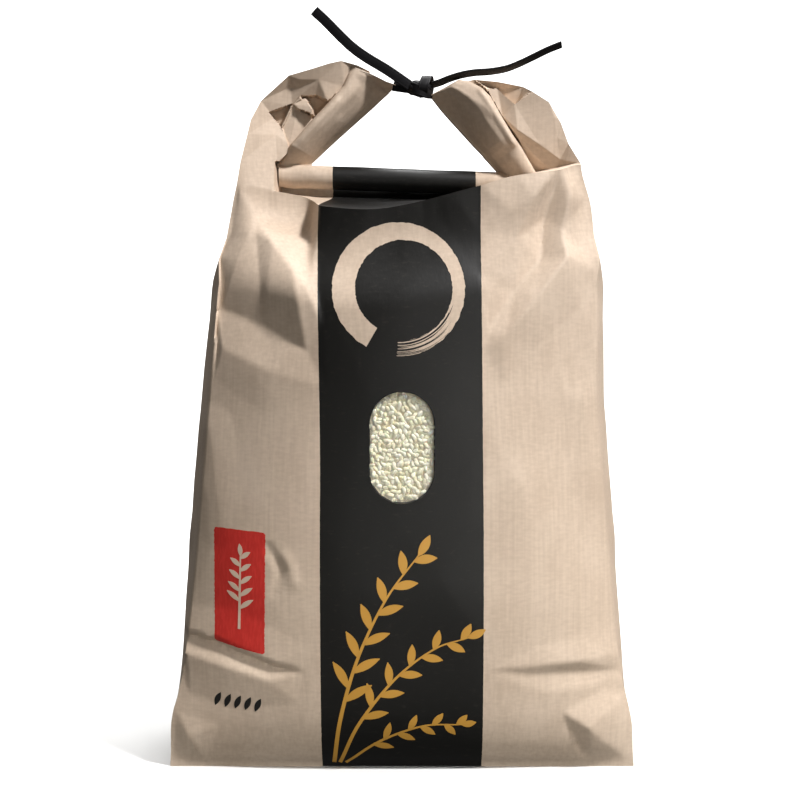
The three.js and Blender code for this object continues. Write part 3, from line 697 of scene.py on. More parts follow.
RIGHT_CORNERS = {
    "foot": (92.1, 311.1, 24.0), "outer_low": (86.9, 322.0, 13.2), "outer_mid": (82.9, 333.0, 12.3),
    "outer_high": (79.1, 339.4, 12.3), "web_high": (76.6, 343.6, 12.8),
    "web_top": (67.6, 349.2, 13.0), "web_a": (79.2, 336.5, 13.0), "web_b": (80.9, 325.5, 13.0),
    "web_c": (82.6, 314.0, 12.6), "web_d": (81.6, 305.0, 9.0), "mid_left": (60.0, 329.3, 14.4),
    "mid_right": (71.9, 321.5, 13.8), "crease_foot": (71.0, 305.5, 3.0),
    "crease_a": (52.9, 335.8, 12.0), "crease_b": (57.4, 329.4, 12.5), "crease_c": (61.2, 324.4, 11.5),
    "cream_a": (44.2, 350.4, 11.0), "cream_b": (49.8, 351.1, 9.5), "cream_c": (58.7, 342.5, 13.0),
    "cream_d": (52.4, 336.6, 11.0), "under_a": (50.4, 350.6, 2.0), "under_b": (59.5, 342.0, 5.0),
    "rim_a": (30.0, 354.4, 3.5), "rim_b": (38.0, 356.3, 4.0), "rim_c": (50.2, 354.9, 6.0),
    "rim_d": (63.5, 352.3, 6.0), "kink": (66.0, 307.0, 6.0),
}
RIGHT_FACETS = [
    "rim_b rim_c under_a", "rim_c rim_d under_a", "rim_d under_b under_a", "rim_d web_top under_b",
    "rim_b under_a cream_a", "web_top web_high cream_c", "web_high web_a cream_c",
    "web_a web_b mid_right", "web_a mid_right cream_c", "cream_c mid_right mid_left",
    "cream_c mid_left crease_a", "mid_left mid_right crease_c", "mid_left crease_c crease_b",
    "mid_left crease_b crease_a", "mid_right web_b web_c", "mid_right web_c crease_c",
    "crease_c web_c web_d", "crease_c web_d crease_foot", "web_high outer_high web_a",
    "outer_high outer_mid web_a", "outer_mid web_b web_a", "outer_mid outer_low web_b",
    "outer_low web_c web_b", "outer_low foot web_c", "foot web_d web_c",
    "cream_a cream_b cream_d", "cream_b cream_c cream_d", "cream_d cream_c crease_a",
]


def rim_rows(kink, corners, names, folded):
    """Rows of angle, distance, depth and folding in, one for each corner on the rim."""
    rows = [(math.degrees(math.atan2(corners[name][1] - kink[1], corners[name][0] - kink[0])),
             math.hypot(corners[name][0] - kink[0], corners[name][1] - kink[1]),
             corners[name][2], fold) for name, fold in zip(names.split(), folded)]
    return np.array(rows)


LEFT_KINK = (-65.0, RIDGE_Z)
RIGHT_KINK = (66.0, 307.0)
LEFT_EAR = {"side": -1, "kink": LEFT_KINK, "kink_depth": 16.0, "dip": 5.0,
            "corners": LEFT_CORNERS, "facets": LEFT_FACETS,
            "rim": rim_rows(LEFT_KINK, LEFT_CORNERS,
                            "foot side cross neck shoulder crown_a crown_b peak back_a back_b",
                            (12, 12, 12, 11, 10, 9, 8, 6, 3, 0))}
RIGHT_EAR = {"side": 1, "kink": RIGHT_KINK, "kink_depth": 8.0, "dip": 4.0,
             "corners": RIGHT_CORNERS, "facets": RIGHT_FACETS,
             "rim": rim_rows(RIGHT_KINK, RIGHT_CORNERS,
                             "foot outer_low outer_mid outer_high web_high web_top rim_d rim_c "
                             "rim_b rim_a", (12, 10, 8, 7, 8, 7, 6, 4, 2, 0))}
KINK_RADIUS = 1.2
FACET_REACH = 0.012
FACETS_FULL_AT = 60
DIP_START = 0.35
DIP_SPAN = 0.25
print("facets of the ears:", len(LEFT_FACETS), "and", len(RIGHT_FACETS))

# %% [markdown]
# A rim side is straight between two corners. In polar coordinates about the kink, a line
# through (r0, a0) and (r1, a1) is r = r0 r1 sin(a1 - a0) / (r0 sin(a - a0) + r1 sin(a1 - a)).

# %% The ears' surfaces
def rim_by_angle(ear):
    """The rim's rows with their angles rising."""
    return ear["rim"][np.argsort(ear["rim"][:, 0])]


def rim_distance(ear, angle):
    """The distance from the kink to the rim in a direction."""
    rows = rim_by_angle(ear)
    k = np.clip(np.searchsorted(rows[:, 0], angle, side="right") - 1, 0, len(rows) - 2)
    start, end = np.radians(rows[k, 0]), np.radians(rows[k + 1, 0])
    r0, r1, a = rows[k, 1], rows[k + 1, 1], np.radians(angle)
    return r0 * r1 * np.sin(end - start) / (r0 * np.sin(a - start) + r1 * np.sin(end - a))


def rim_value(ear, column, angle):
    """The depth or the folding in at the rim, straight between the corners."""
    rows = rim_by_angle(ear)
    return np.interp(angle, rows[:, 0], rows[:, column])


def ear_angle(ear, turn):
    """The direction from the kink when turn goes 0 to 1 from the body to the strip."""
    return mix(ear["rim"][0][0], ear["rim"][-1][0], turn)


def facet_values(corners, facets, x, z, value):
    """The value of the last facet that covers each place, or the given one where none does.

    The value in a triangle is the sum of its corners' values, each times a share. The shares
    add up to 1, and where one of them is negative the place is outside.
    """
    for names in facets:
        (x0, z0, v0), (x1, z1, v1), (x2, z2, v2) = (corners[name] for name in names.split())
        area = (x1 - x0) * (z2 - z0) - (x2 - x0) * (z1 - z0)
        s = ((x - x0) * (z2 - z0) - (x2 - x0) * (z - z0)) / area
        t = ((x1 - x0) * (z - z0) - (x - x0) * (z1 - z0)) / area
        inside = np.minimum(np.minimum(s, t), 1 - s - t) > -FACET_REACH
        value = np.where(inside, v0 + s * (v1 - v0) + t * (v2 - v0), value)
    return value


def ear_face(ear, turn, out, face):
    """Points of an ear's front (face -1) or back (face 1).

    x and z go out from the kink along straight rays. The back's depth goes straight from the
    kink's to the rim's, less a dip in the middle of the fan. The front has its facets, which
    fade in over the first 1 / FACETS_FULL_AT of the turn, where the ear meets the body.
    """
    angle = ear_angle(ear, turn)
    reach = rim_distance(ear, angle)
    radius = KINK_RADIUS + (reach - KINK_RADIUS) * out
    dip = ear["dip"] * smooth((turn - DIP_START) / DIP_SPAN) * np.sin(np.pi * out)
    depth = mix(ear["kink_depth"], rim_value(ear, 2, angle), radius / reach) - dip
    ray = np.radians(angle)
    x = ear["kink"][0] + radius * np.cos(ray)
    z = ear["kink"][1] + radius * np.sin(ray)
    if face < 0:
        facets = facet_values(ear["corners"], ear["facets"], x, z, depth)
        depth = mix(depth, facets, np.minimum(1, turn * FACETS_FULL_AT))
    return points(x, face * depth, z)


def ear_section(ear, turn, between, out):
    """Points of the ear's inside along one ray, folded in toward the rim."""
    angle = ear_angle(ear, turn)
    inward = rim_value(ear, 3, angle) * (1 - np.abs(2 * between - 1)) * out
    edge = mix(ear_face(ear, turn, out, -1), ear_face(ear, turn, out, 1), between[..., None])
    ray = np.radians(angle)
    return edge - points(inward * np.cos(ray), 0, inward * np.sin(ray))


print("left ear turns", round(LEFT_EAR["rim"][0][0] - LEFT_EAR["rim"][-1][0]), "degrees")

# %% [markdown]
# ## The body's faces
#
# The front and the back are height maps in depth: full in the middle, and falling to the
# corners as a power of the column. Above the shoulders the front bends forward into a lip,
# and behind the lip it runs back and up to the roll. The sides bulge where the rice is and
# fold in at the top.

# %% The body's surfaces
def column_x(across, z):
    """x of a column at a height. The right half is a little wider at the shoulders."""
    half = along(CORNER_X, z) + np.where(across > 0, along(RIGHT_EXTRA, z), 0)
    return across * half


KINK_SHARE = [ear["kink"][0] / abs(float(column_x(np.float64(ear["side"]), RIDGE_Z)))
              for ear in (LEFT_EAR, RIGHT_EAR)]


def body_depth(depths, across, z):
    """Corner depth plus the rest of the depth times 1 - |across| to the bulge power."""
    corner = along(CORNER_Y, z)
    return corner + (along(depths, z) - corner) * (1 - np.abs(across) ** along(BULGE_POWER, z))


def mouth(across, face):
    """The line where a face ends: the first ray of an ear, or pressed flat under the roll."""
    t = (across - KINK_SHARE[0]) / (KINK_SHARE[1] - KINK_SHARE[0])
    line = points(mix(LEFT_EAR["kink"][0], RIGHT_EAR["kink"][0], t), face * MOUTH_HALF_GAP,
                  mix(ROLL_Z, ROLL_Z - ROLL_FALL, t) + (BACK_RISE if face > 0 else 0))
    for ear, share in ((LEFT_EAR, KINK_SHARE[0]), (RIGHT_EAR, KINK_SHARE[1])):
        out = (across - share) / (ear["side"] - share)
        ray = ear_face(ear, 0.0, np.clip(out, 0, 1), face)
        line = np.where((out > -1e-9)[..., None], ray, line)
    return line


def body_face(across, up, face):
    """Points of the front (face -1) or back (face 1). up goes 0 to 1 from base to mouth."""
    lip_z = along(LIP_HEIGHT if face < 0 else BACK_LIP_HEIGHT, across)
    rise = np.minimum(up / LIP_SHARE, 1)
    z = lip_z * rise
    depth = body_depth(FRONT_DEPTH if face < 0 else BACK_DEPTH, across, z)
    if face < 0:
        bent = smooth((rise - LIP_BEND_START) / LIP_BEND_SPAN)
        depth = mix(depth, along(LIP_FORWARD, across), bent)
    lip = points(column_x(across, z), face * depth, z)
    share = np.clip((up - LIP_SHARE) / (1 - LIP_SHARE), 0, 1)
    return mix(lip, mouth(across, face), share[..., None])


def body_side(ear, between, up):
    """Points of a side, from its front corner to its back corner.

    A parabola bulges it outward and a V folds it inward, each as far as its profile says.
    """
    side = float(ear["side"])
    front = body_face(np.full_like(up, side), up, -1)
    back = body_face(np.full_like(up, side), up, 1)
    edge = mix(front, back, between[..., None])
    out = along(SIDE_OUT, edge[..., 2]) * (1 - (2 * between - 1) ** 2)
    inward = along(GUSSET_IN, edge[..., 2]) * (1 - np.abs(2 * between - 1))
    edge[..., 0] += side * (out - inward)
    top = ear_section(ear, np.zeros_like(between), between, 1.0)
    return np.where((up > 1 - 1e-9)[..., None], top, edge)


print("kinks at", [round(share, 3) for share in KINK_SHARE], "of the half width")

# %% [markdown]
# ## Folds, dents and crumples
#
# Kraft paper doesn't stretch, so it takes its shape in flat facets with sharp folds between
# them. Each fold is a tent over a line on the face: highest along the line and falling
# straight to nothing at its width. Where tents overlap, the highest ridge and the deepest
# valley are taken and added, which keeps each fold as sharp as it was.

# %% Folds of the front
# From x, z to x, z, the height at both ends (minus goes in), and the width
FRONT_FOLDS = [
    [-67, 117, -60, 106, -0.9, -1.3, 4],
    [-60, 106, -64, 95, -1.3, -0.5, 4],
    [-58, 112, -54, 100, 0.9, 0.6, 5],
    [-50.5, 288, -51.5, 277, -0.7, -0.3, 4],
    [30, 288, 44, 268, 1.2, 0.3, 12],
    [-30, 287, -38, 262, -1.2, -0.3, 12],
    [10, 292, 14, 262, -0.8, -0.2, 12],
    [92, 190, 97, 150, 1.2, 0.8, 12],
    [-98, 176, -92, 128, 1.4, 0.6, 13],
    [60, 150, 66, 96, 0.9, 0.3, 14],
]


def tents(folds, x, z):
    """The highest ridge plus the deepest valley of the folds at each place.

    A tent is the height between its two ends, times 1 less the distance over the width.
    """
    ridge = np.zeros_like(x)
    valley = np.zeros_like(x)
    for x0, z0, x1, z1, h0, h1, width in folds:
        dx, dz = x1 - x0, z1 - z0
        t = np.clip(((x - x0) * dx + (z - z0) * dz) / (dx * dx + dz * dz), 0, 1)
        away = np.hypot(x - x0 - t * dx, z - z0 - t * dz)
        height = mix(h0, h1, t) * np.maximum(0, 1 - away / width)
        ridge = np.maximum(ridge, height)
        valley = np.minimum(valley, height)
    return ridge + valley


print(len(FRONT_FOLDS), "folds on the front")

# %% [markdown]
# On the shoulders the paper lies in large flat facets. Each corner has an x, a z and a height
# over the plain body. From the left kink a panel hangs to a crease that runs down to the
# band. On the right small facets meet in a point, and a long ridge runs down from there.

# %% Facets of the shoulders
SHOULDER_LEFT = {
    "l_top": (-83.4, 300.4, 0.0), "l_rim": (-83.7, 296.1, 1.5), "l_one": (-75.1, 283.2, 7.5),
    "l_two": (-65.6, 269.6, 9.5), "l_three": (-54.5, 255.6, 8.5), "l_four": (-48.1, 247.6, 5),
    "l_five": (-42.4, 245.5, 0.5), "l_lip": (-43.7, 290.2, 0.0), "l_mark": (-52.0, 288.1, 1.2),
    "l_high": (-66.4, 296.6, 0.0), "l_side_a": (-87.6, 281.0, -0.5),
    "l_side_b": (-90.7, 261.6, -1.0), "l_dent": (-92.3, 236.1, -3.2),
    "l_dent_in": (-69.5, 228.5, -3.2), "l_dent_end": (-47.6, 216.2, -1.0),
    "l_end": (-39.3, 228.6, 0.0), "l_below": (-91.1, 216.4, 0.8), "l_side_c": (-94.4, 235.4, -2.4),
    "l_rest": (-65.8, 205.2, 1.2), "l_rest_side": (-95.4, 200.9, 0.0),
    "l_rest_low": (-69.3, 184.1, 0.0), "l_rest_end": (-37.6, 198.2, 0.0),
}
LEFT_PANELS = [
    "l_top l_rim l_high", "l_rim l_one l_high", "l_one l_mark l_high", "l_high l_mark l_lip",
    "l_one l_two l_mark", "l_two l_lip l_mark", "l_two l_three l_lip", "l_three l_four l_lip",
    "l_four l_five l_lip", "l_rim l_side_a l_one", "l_side_a l_side_b l_one",
    "l_side_b l_dent l_one", "l_one l_dent l_dent_in", "l_one l_dent_in l_two",
    "l_two l_dent_in l_three", "l_three l_dent_in l_dent_end", "l_three l_dent_end l_four",
    "l_four l_dent_end l_end", "l_four l_end l_five", "l_side_b l_side_c l_dent",
    "l_side_c l_below l_dent", "l_dent l_below l_dent_in", "l_below l_rest l_dent_in",
    "l_dent_in l_rest l_dent_end", "l_dent_end l_rest l_rest_end", "l_dent_end l_rest_end l_end",
    "l_side_c l_rest_side l_below", "l_below l_rest_side l_rest", "l_rest_side l_rest_low l_rest",
    "l_rest l_rest_low l_rest_end",
]
SHOULDER_RIGHT = {
    "r_lip": (81.9, 311.2, 0.0), "r_fold": (86.1, 293.6, 4.0), "r_in": (80.9, 277.2, 1.5),
    "r_corner": (72.2, 281.8, -5.0), "r_point": (83.4, 263.0, 6.0), "r_out": (92.8, 265.3, 0.8),
    "r_rim_a": (100.0, 271.5, 0.0), "r_rim_b": (96.2, 293.3, 0.0), "r_rim_c": (93.4, 310.1, 0.0),
    "r_ridge_a": (66.9, 293.4, 3.4), "r_ridge_b": (56.0, 285.9, 2.6),
    "r_ridge_c": (38.9, 277.3, 0.0), "r_lip_a": (57.2, 304.4, 0.0), "r_lip_b": (39.2, 299.4, 0.0),
    "r_plain": (58.0, 272.1, 1.5), "r_shade_a": (70.0, 261.5, -3.0),
    "r_shade_b": (56.4, 245.0, -2.8), "r_shade_c": (43.4, 226.3, -0.6),
    "r_line_a": (68.4, 243.2, 4.5), "r_line_b": (51.9, 223.7, 2.4), "r_line_c": (41.0, 217.0, 0.0),
    "r_left": (38.7, 254.4, 0.0), "r_wide_a": (97.7, 255.7, 0.0), "r_wide_b": (89.1, 235.4, 0.9),
    "r_wide_c": (65.8, 216.8, 0.4), "r_end": (50.4, 199.4, 0.0), "r_far": (99.5, 216.2, 0.0),
}
RIGHT_PANELS = [
    "r_lip r_ridge_a r_lip_a", "r_lip_a r_ridge_a r_ridge_b", "r_lip_a r_ridge_b r_lip_b",
    "r_lip_b r_ridge_b r_ridge_c", "r_lip r_fold r_corner", "r_fold r_in r_corner",
    "r_lip r_corner r_ridge_a", "r_ridge_a r_corner r_plain", "r_ridge_a r_plain r_ridge_b",
    "r_ridge_b r_plain r_ridge_c", "r_corner r_in r_point", "r_corner r_point r_shade_a",
    "r_corner r_shade_a r_plain", "r_plain r_shade_a r_shade_b", "r_plain r_shade_b r_left",
    "r_plain r_left r_ridge_c", "r_shade_a r_point r_line_a", "r_shade_a r_line_a r_shade_b",
    "r_shade_b r_line_a r_line_b", "r_shade_b r_line_b r_shade_c", "r_shade_b r_shade_c r_left",
    "r_shade_c r_line_b r_line_c", "r_fold r_rim_b r_in", "r_lip r_rim_c r_fold",
    "r_rim_c r_rim_b r_fold", "r_rim_b r_rim_a r_in", "r_rim_a r_out r_in", "r_in r_out r_point",
    "r_out r_rim_a r_wide_a", "r_point r_out r_wide_a", "r_point r_wide_a r_wide_b",
    "r_point r_wide_b r_line_a", "r_line_a r_wide_b r_wide_c", "r_line_a r_wide_c r_line_b",
    "r_line_b r_wide_c r_end", "r_line_b r_end r_line_c", "r_wide_a r_far r_wide_b",
    "r_wide_b r_far r_wide_c", "r_wide_c r_far r_end",
]
print(len(LEFT_PANELS), "and", len(RIGHT_PANELS), "facets on the shoulders")

# %% [markdown]
# Low down the paper has buckled. On the left it hangs over a crisp step and stands out
# below it, on the right it is only creased, and at both feet the corners are tucked in.

# %% Facets of the foot
FOOT_LEFT = {
    "b_a": (-113.4, 72.6, 1.2), "b_b": (-93.7, 69.3, 1.6), "b_c": (-79.7, 64.0, 1.6),
    "b_d": (-64.4, 58.4, 1.2), "b_e": (-50.8, 55.9, 0.2), "b_up_a": (-107.8, 85.4, 0.0),
    "b_up_b": (-87.3, 85.1, 0.0), "b_up_c": (-61.3, 75.2, 0.0), "b_up_d": (-46.2, 64.7, 0.0),
    "b_in_a": (-113.4, 70.2, -1.6), "b_in_b": (-93.7, 66.9, -2.2), "b_in_c": (-79.7, 61.6, -2.2),
    "b_in_d": (-64.4, 56.0, -1.6), "b_in_e": (-50.8, 53.5, -0.2), "b_lit_a": (-111.3, 60.2, 2.0),
    "b_lit_b": (-89.3, 55.4, 2.4), "b_lit_c": (-66.2, 48.7, 1.4), "b_low_a": (-108.7, 39.4, 0.0),
    "b_low_b": (-83.8, 32.7, 0.0), "b_low_c": (-52.7, 37.4, 0.0), "t_out": (-118.9, 3.7, 0.0),
    "t_ridge": (-109.2, 16.9, 1.6), "t_in": (-101.6, 3.0, 0.0), "t_up": (-115.3, 29.5, 0.0),
    "t_far": (-93.2, 24.3, 0.0),
}
FOOT_LEFT_PANELS = [
    "b_up_a b_a b_b", "b_up_a b_b b_up_b", "b_up_b b_b b_c", "b_up_b b_c b_up_c", "b_up_c b_c b_d",
    "b_up_c b_d b_up_d", "b_up_d b_d b_e", "b_a b_in_a b_b", "b_b b_in_a b_in_b",
    "b_b b_in_b b_c", "b_c b_in_b b_in_c", "b_c b_in_c b_d", "b_d b_in_c b_in_d",
    "b_d b_in_d b_e", "b_e b_in_d b_in_e", "b_in_a b_lit_a b_in_b", "b_in_b b_lit_a b_lit_b",
    "b_in_b b_lit_b b_in_c", "b_in_c b_lit_b b_lit_c", "b_in_c b_lit_c b_in_d",
    "b_in_d b_lit_c b_in_e", "b_lit_a b_low_a b_lit_b", "b_lit_b b_low_a b_low_b",
    "b_lit_b b_low_b b_lit_c", "b_lit_c b_low_b b_low_c", "b_lit_c b_low_c b_in_e",
    "t_up t_out t_ridge", "t_out t_in t_ridge", "t_in t_far t_ridge", "t_far t_up t_ridge",
]
FOOT_RIGHT = {
    "c_a": (117.7, 39.0, 0.0), "c_b": (95.8, 22.7, 4.6), "c_c": (118.1, 2.4, 0.0),
    "c_d": (99.5, 2.4, 0.0), "c_e": (81.5, 31.6, 0.0), "c_f": (91.3, 8.6, -1.8),
    "c_g": (107.6, 34.2, 1.8), "c_h": (103.6, 42.5, 0.0), "d_a": (41.2, 55.2, 0.0),
    "d_b": (65.4, 56.5, 0.9), "d_c": (90.3, 58.2, 1.9), "d_d": (111.4, 60.0, 1.0),
    "d_e": (65.5, 51.6, -0.8), "d_f": (90.3, 51.4, -1.8), "d_g": (112.4, 51.4, -0.6),
    "d_h": (65.4, 66.0, 0.0), "d_i": (93.1, 71.0, 0.0), "d_j": (109.8, 74.1, 0.0),
    "d_k": (71.7, 42.5, 0.0), "d_l": (100.0, 44.2, 0.0), "d_m": (113.7, 43.9, 0.0),
}
FOOT_RIGHT_PANELS = [
    "c_a c_b c_g", "c_a c_c c_b", "c_c c_d c_b", "c_d c_f c_b", "c_f c_e c_b", "c_e c_h c_b",
    "c_h c_g c_b", "c_h c_a c_g", "d_a d_b d_h", "d_h d_b d_c", "d_h d_c d_i", "d_i d_c d_d",
    "d_i d_d d_j", "d_a d_e d_b", "d_b d_e d_f", "d_b d_f d_c", "d_c d_f d_g", "d_c d_g d_d",
    "d_a d_k d_e", "d_e d_k d_f", "d_f d_k d_l", "d_f d_l d_g", "d_g d_l d_m",
]
BODY_FACETS = [(SHOULDER_LEFT, LEFT_PANELS), (SHOULDER_RIGHT, RIGHT_PANELS),
               (FOOT_LEFT, FOOT_LEFT_PANELS), (FOOT_RIGHT, FOOT_RIGHT_PANELS)]
print(sum(len(panels) for _, panels in BODY_FACETS), "facets on the front")

# %% [markdown]
# The sides keep the creases of the flat bag, an upright line and two slanting ones, and
# the back has a few soft ones.

# %% Folds of the sides and the back
SIDE_FOLDS = [
    [-42, 1, 0, 44, -0.6, -1.6, 8],
    [42, 1, 0, 44, -0.6, -1.6, 8],
    [0, 44, 2, 150, -1.6, -0.7, 9],
    [2, 150, 0, 262, -0.7, -2.0, 9],
    [-34, 262, 0, 236, 2.2, 0.4, 12],
    [34, 258, 0, 236, 2.0, 0.4, 12],
    [-20, 120, 16, 90, 0.8, -0.2, 12],
    [22, 190, -12, 172, 0.9, 0.2, 12],
]
BACK_FOLDS = [
    [-90, 296, -52, 262, 2, 3.5, 20],
    [-52, 262, -34, 238, 3.5, 0.6, 22],
    [88, 298, 58, 266, 2, 3.2, 20],
    [58, 266, 36, 240, 3.2, 0.6, 22],
    [-20, 286, 24, 262, -1.6, -0.6, 16],
    [-112, 60, -70, 52, -1.6, -0.6, 8],
    [64, 58, 112, 66, -0.5, -1.6, 8],
    [-60, 190, -76, 140, 1.0, 0.6, 16],
    [70, 200, 78, 150, -1.1, -0.4, 15],
]
print(len(SIDE_FOLDS), "folds on each side,", len(BACK_FOLDS), "on the back")

# %% [markdown]
# Handled paper is also faintly crumpled all over. Seeds are scattered through the sack, and
# the height at a place is its distance to the nearest seed. Halfway between two seeds that
# makes a fine ridge, and at a seed a shallow hollow, so flat cells appear with creases
# between them. All heights go outward: along y on the front and back, along x on the sides.

# %% Crumple, and the final place of every point
CRUMPLE_SEED = 7
CRUMPLE_SEEDS = 190
CRUMPLE_CELL = (36.0, 36.0, 58.0)
CRUMPLE_HEIGHT = 1.15
CRUMPLE_LEVEL = 0.62
CRUMPLE_ROUNDING = 0.03
CRUMPLE_REACH = (125.0, 70.0, 200.0)
CRUMPLE_CENTRE = (0, 0, 190)
EDGE_WIDTH = 14.0
BACK_SEAM_X = 30.0
BACK_SEAM_STEP = 0.5

# Where a rule starts to count, and over how many mm it comes in or goes out
GROUND_FADE = 12
FRONT_FOLDS_FROM = (24, 14)
PANELS_FROM = (22, 8)
PANELS_FADE = 12
BACK_FOLDS_FROM = (20, 14)
SEAM_FADE = 1.6
SEAM_END = (60, 30)
SIDES_END = (296, 20)
MOUTH_FROM = (295, 20)
MOUTH_DEPTH = 2.0
EARS_FROM = (308, 10)
EAR_CRUMPLE = 0.35


def crumple(place):
    """Distance to the nearest seed in cells, rounded off at the seed, less its usual value."""
    rng = np.random.default_rng(CRUMPLE_SEED)
    scattered = rng.uniform(-1, 1, (CRUMPLE_SEEDS, 3)) * CRUMPLE_REACH
    seeds = (scattered + CRUMPLE_CENTRE) / CRUMPLE_CELL
    scaled = place / CRUMPLE_CELL
    nearest = np.full(len(place), 9.0)
    for seed in seeds:
        nearest = np.minimum(nearest, ((scaled - seed) ** 2).sum(axis=1))
    return CRUMPLE_HEIGHT * (np.sqrt(nearest + CRUMPLE_ROUNDING) - CRUMPLE_LEVEL)


def rising(value, start_and_span):
    """0 up to the start, 1 from the start plus the span on, and smooth between."""
    start, span = start_and_span
    return smooth((value - start) / span)


def falling(value, end_and_span):
    """1 up to the end less the span, 0 from the end on, and smooth between."""
    end, span = end_and_span
    return smooth((end - value) / span)


def outward_share(place):
    """How far a place belongs to the sides (x) and to the front or back (y), each 0 to 1."""
    x, y, z = place.T
    half = column_x(np.sign(x), z) * np.sign(x)
    on_side = smooth((np.abs(x) - half + EDGE_WIDTH) / EDGE_WIDTH) * falling(z, SIDES_END)
    start = mix(along(CORNER_Y, z) - EDGE_WIDTH, MOUTH_DEPTH, rising(z, MOUTH_FROM))
    on_face = smooth((np.abs(y) - start) / EDGE_WIDTH)
    return on_side, on_face


def shape_paper(place):
    """Moves the points of the body and ears outward by every fold and crumple.

    Folds of the front count where y is well forward, and all of them fade to nothing at the
    base, which stays flat. The ears are crumpled less than the body.
    """
    x, y, z = place.T
    on_side, on_face = outward_share(place)
    grounded = smooth(z / GROUND_FADE)
    front = tents(FRONT_FOLDS, x, z) * rising(-y, FRONT_FOLDS_FROM)
    panels = np.zeros_like(x)
    for corners, facets in BODY_FACETS:
        panels = facet_values(corners, facets, x, z, panels)
    front += panels * rising(-y, PANELS_FROM) * falling(z, (RIDGE_Z, PANELS_FADE))
    seam = BACK_SEAM_STEP * rising(x, (BACK_SEAM_X, SEAM_FADE)) * falling(x, SEAM_END)
    back = (tents(BACK_FOLDS, x, z) + seam) * rising(y, BACK_FOLDS_FROM)
    cells = crumple(place)
    moved = place.copy()
    cells_on_face = cells * on_face * mix(1, EAR_CRUMPLE, rising(z, EARS_FROM))
    moved[:, 1] += np.sign(y) * (front + back + cells_on_face) * grounded
    moved[:, 0] += np.sign(x) * (tents(SIDE_FOLDS, y, z) + cells) * on_side * grounded
    return moved


print("crumple cells of", CRUMPLE_CELL, "mm")

# %% [markdown]
# Underneath, the bottom is folded as on any block-bottomed bag: two long flaps overlap in
# the middle, over a triangle folded in at each end. The rim touches the ground, the lowest
# flap lies just above it and the others one or two layers higher. How this bag's bottom is
# folded isn't seen in the photograph, so this is the usual way.

# %% The folded bottom
LAYER = 0.45
FLAP_HALF = 11.0
TRIANGLE_REACH = 8
FOLD_SLOPE = 1.6
RIM_SLOPE = 3
LOWEST_FLAP = 0.4


def bottom_relief(x, y):
    """Height of the underside above the ground: least on the lowest flap, none at the rim."""
    corner = BASE_HALF_DEPTH - (BASE_HALF_WIDTH - np.abs(x))
    triangle = smooth((corner - np.abs(y) + TRIANGLE_REACH) / FOLD_SLOPE)
    beside = smooth((y - FLAP_HALF) / FOLD_SLOPE)
    inset = (smooth((BASE_HALF_WIDTH - np.abs(x)) / RIM_SLOPE)
             * smooth((BASE_HALF_DEPTH - np.abs(y)) / RIM_SLOPE))
    return LAYER * (LOWEST_FLAP + beside + triangle) * inset


def paper_patches():
    """Every patch of the body and the ears, with whether its quads are turned round."""
    left = np.linspace(-1, KINK_SHARE[0], COLUMNS_EAR + 1)
    middle = np.linspace(KINK_SHARE[0], KINK_SHARE[1], COLUMNS_MIDDLE + 1)
    right = np.linspace(KINK_SHARE[1], 1, COLUMNS_EAR + 1)
    across = np.concatenate([left[:-1], middle, right[1:]])
    up = np.concatenate([np.linspace(0, LIP_SHARE, ROWS_BODY + 1),
                         np.linspace(LIP_SHARE, 1, ROWS_LIP + 1)[1:]])
    between = np.linspace(0, 1, COLUMNS_SIDE + 1)

    v, u = lattice(up, across)
    patches = [(body_face(u, v, -1), False), (body_face(u, v, 1), True)]
    v, u = lattice(up, between)
    patches += [(body_side(LEFT_EAR, u, v), True), (body_side(RIGHT_EAR, u, v), False)]
    v, u = lattice(between, across)
    base = mix(body_face(u, np.zeros_like(u), -1), body_face(u, np.zeros_like(u), 1),
               v[..., None])
    base[..., 2] += bottom_relief(base[..., 0], base[..., 1])
    patches.append((base, True))
    v, u = lattice(between, middle)
    patches.append((mix(mouth(u, -1), mouth(u, 1), v[..., None]), False))
    out = np.linspace(0, 1, COLUMNS_EAR + 1)
    v, u = lattice(between, out)
    for ear in (LEFT_EAR, RIGHT_EAR):
        patches.append((ear_section(ear, np.zeros_like(u), v, u), ear["side"] < 0))
    return patches


def ear_patches(ear):
    """The front, back, rim and inner edge of one ear, and its two end sections."""
    turned = ear["side"] < 0
    turn = np.linspace(0, 1, ROWS_EAR + 1)
    out = np.linspace(0, 1, COLUMNS_FINE + 1)
    between = np.linspace(0, 1, COLUMNS_SIDE + 1)
    v, u = lattice(turn, out)
    patches = [(ear_face(ear, v, u, -1), turned), (ear_face(ear, v, u, 1), not turned)]
    v, u = lattice(turn, between)
    patches.append((ear_section(ear, v, u, 1.0), turned))
    inner = mix(ear_face(ear, v, 0.0, -1), ear_face(ear, v, 0.0, 1), u[..., None])
    patches.append((inner, not turned))
    v, u = lattice(between, out)
    for share, flip in ((0.0, not turned), (1.0, turned)):
        patches.append((ear_section(ear, np.full_like(u, share), v, u), flip))
    return patches


# %% The paper body and the ears as closed meshes
def shaped(patches):
    """The patches with every fold and crumple."""
    return [(shape_paper(grid.reshape(-1, 3)).reshape(grid.shape), flip)
            for grid, flip in patches]


sack = patches_to_object("sack_paper", shaped(paper_patches()))
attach(sack, "root")
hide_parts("sack")
ears = [patches_to_object("ear_left", shaped(ear_patches(LEFT_EAR))),
        patches_to_object("ear_right", shaped(ear_patches(RIGHT_EAR)))]

# %% [markdown]
# The window is cut out of the black band. Its outline is a stadium, a rectangle with round
# ends. A prism of that outline is taken out of the front with a Boolean modifier, which is
# then applied, so that the print's distances can be stored at the points that it added.

# %% The window opening
WINDOW_HALF = (16.3, 27.8)
WINDOW_Z = 168.0
POCKET_Y = -57.0
WINDOW_SIDES = 96


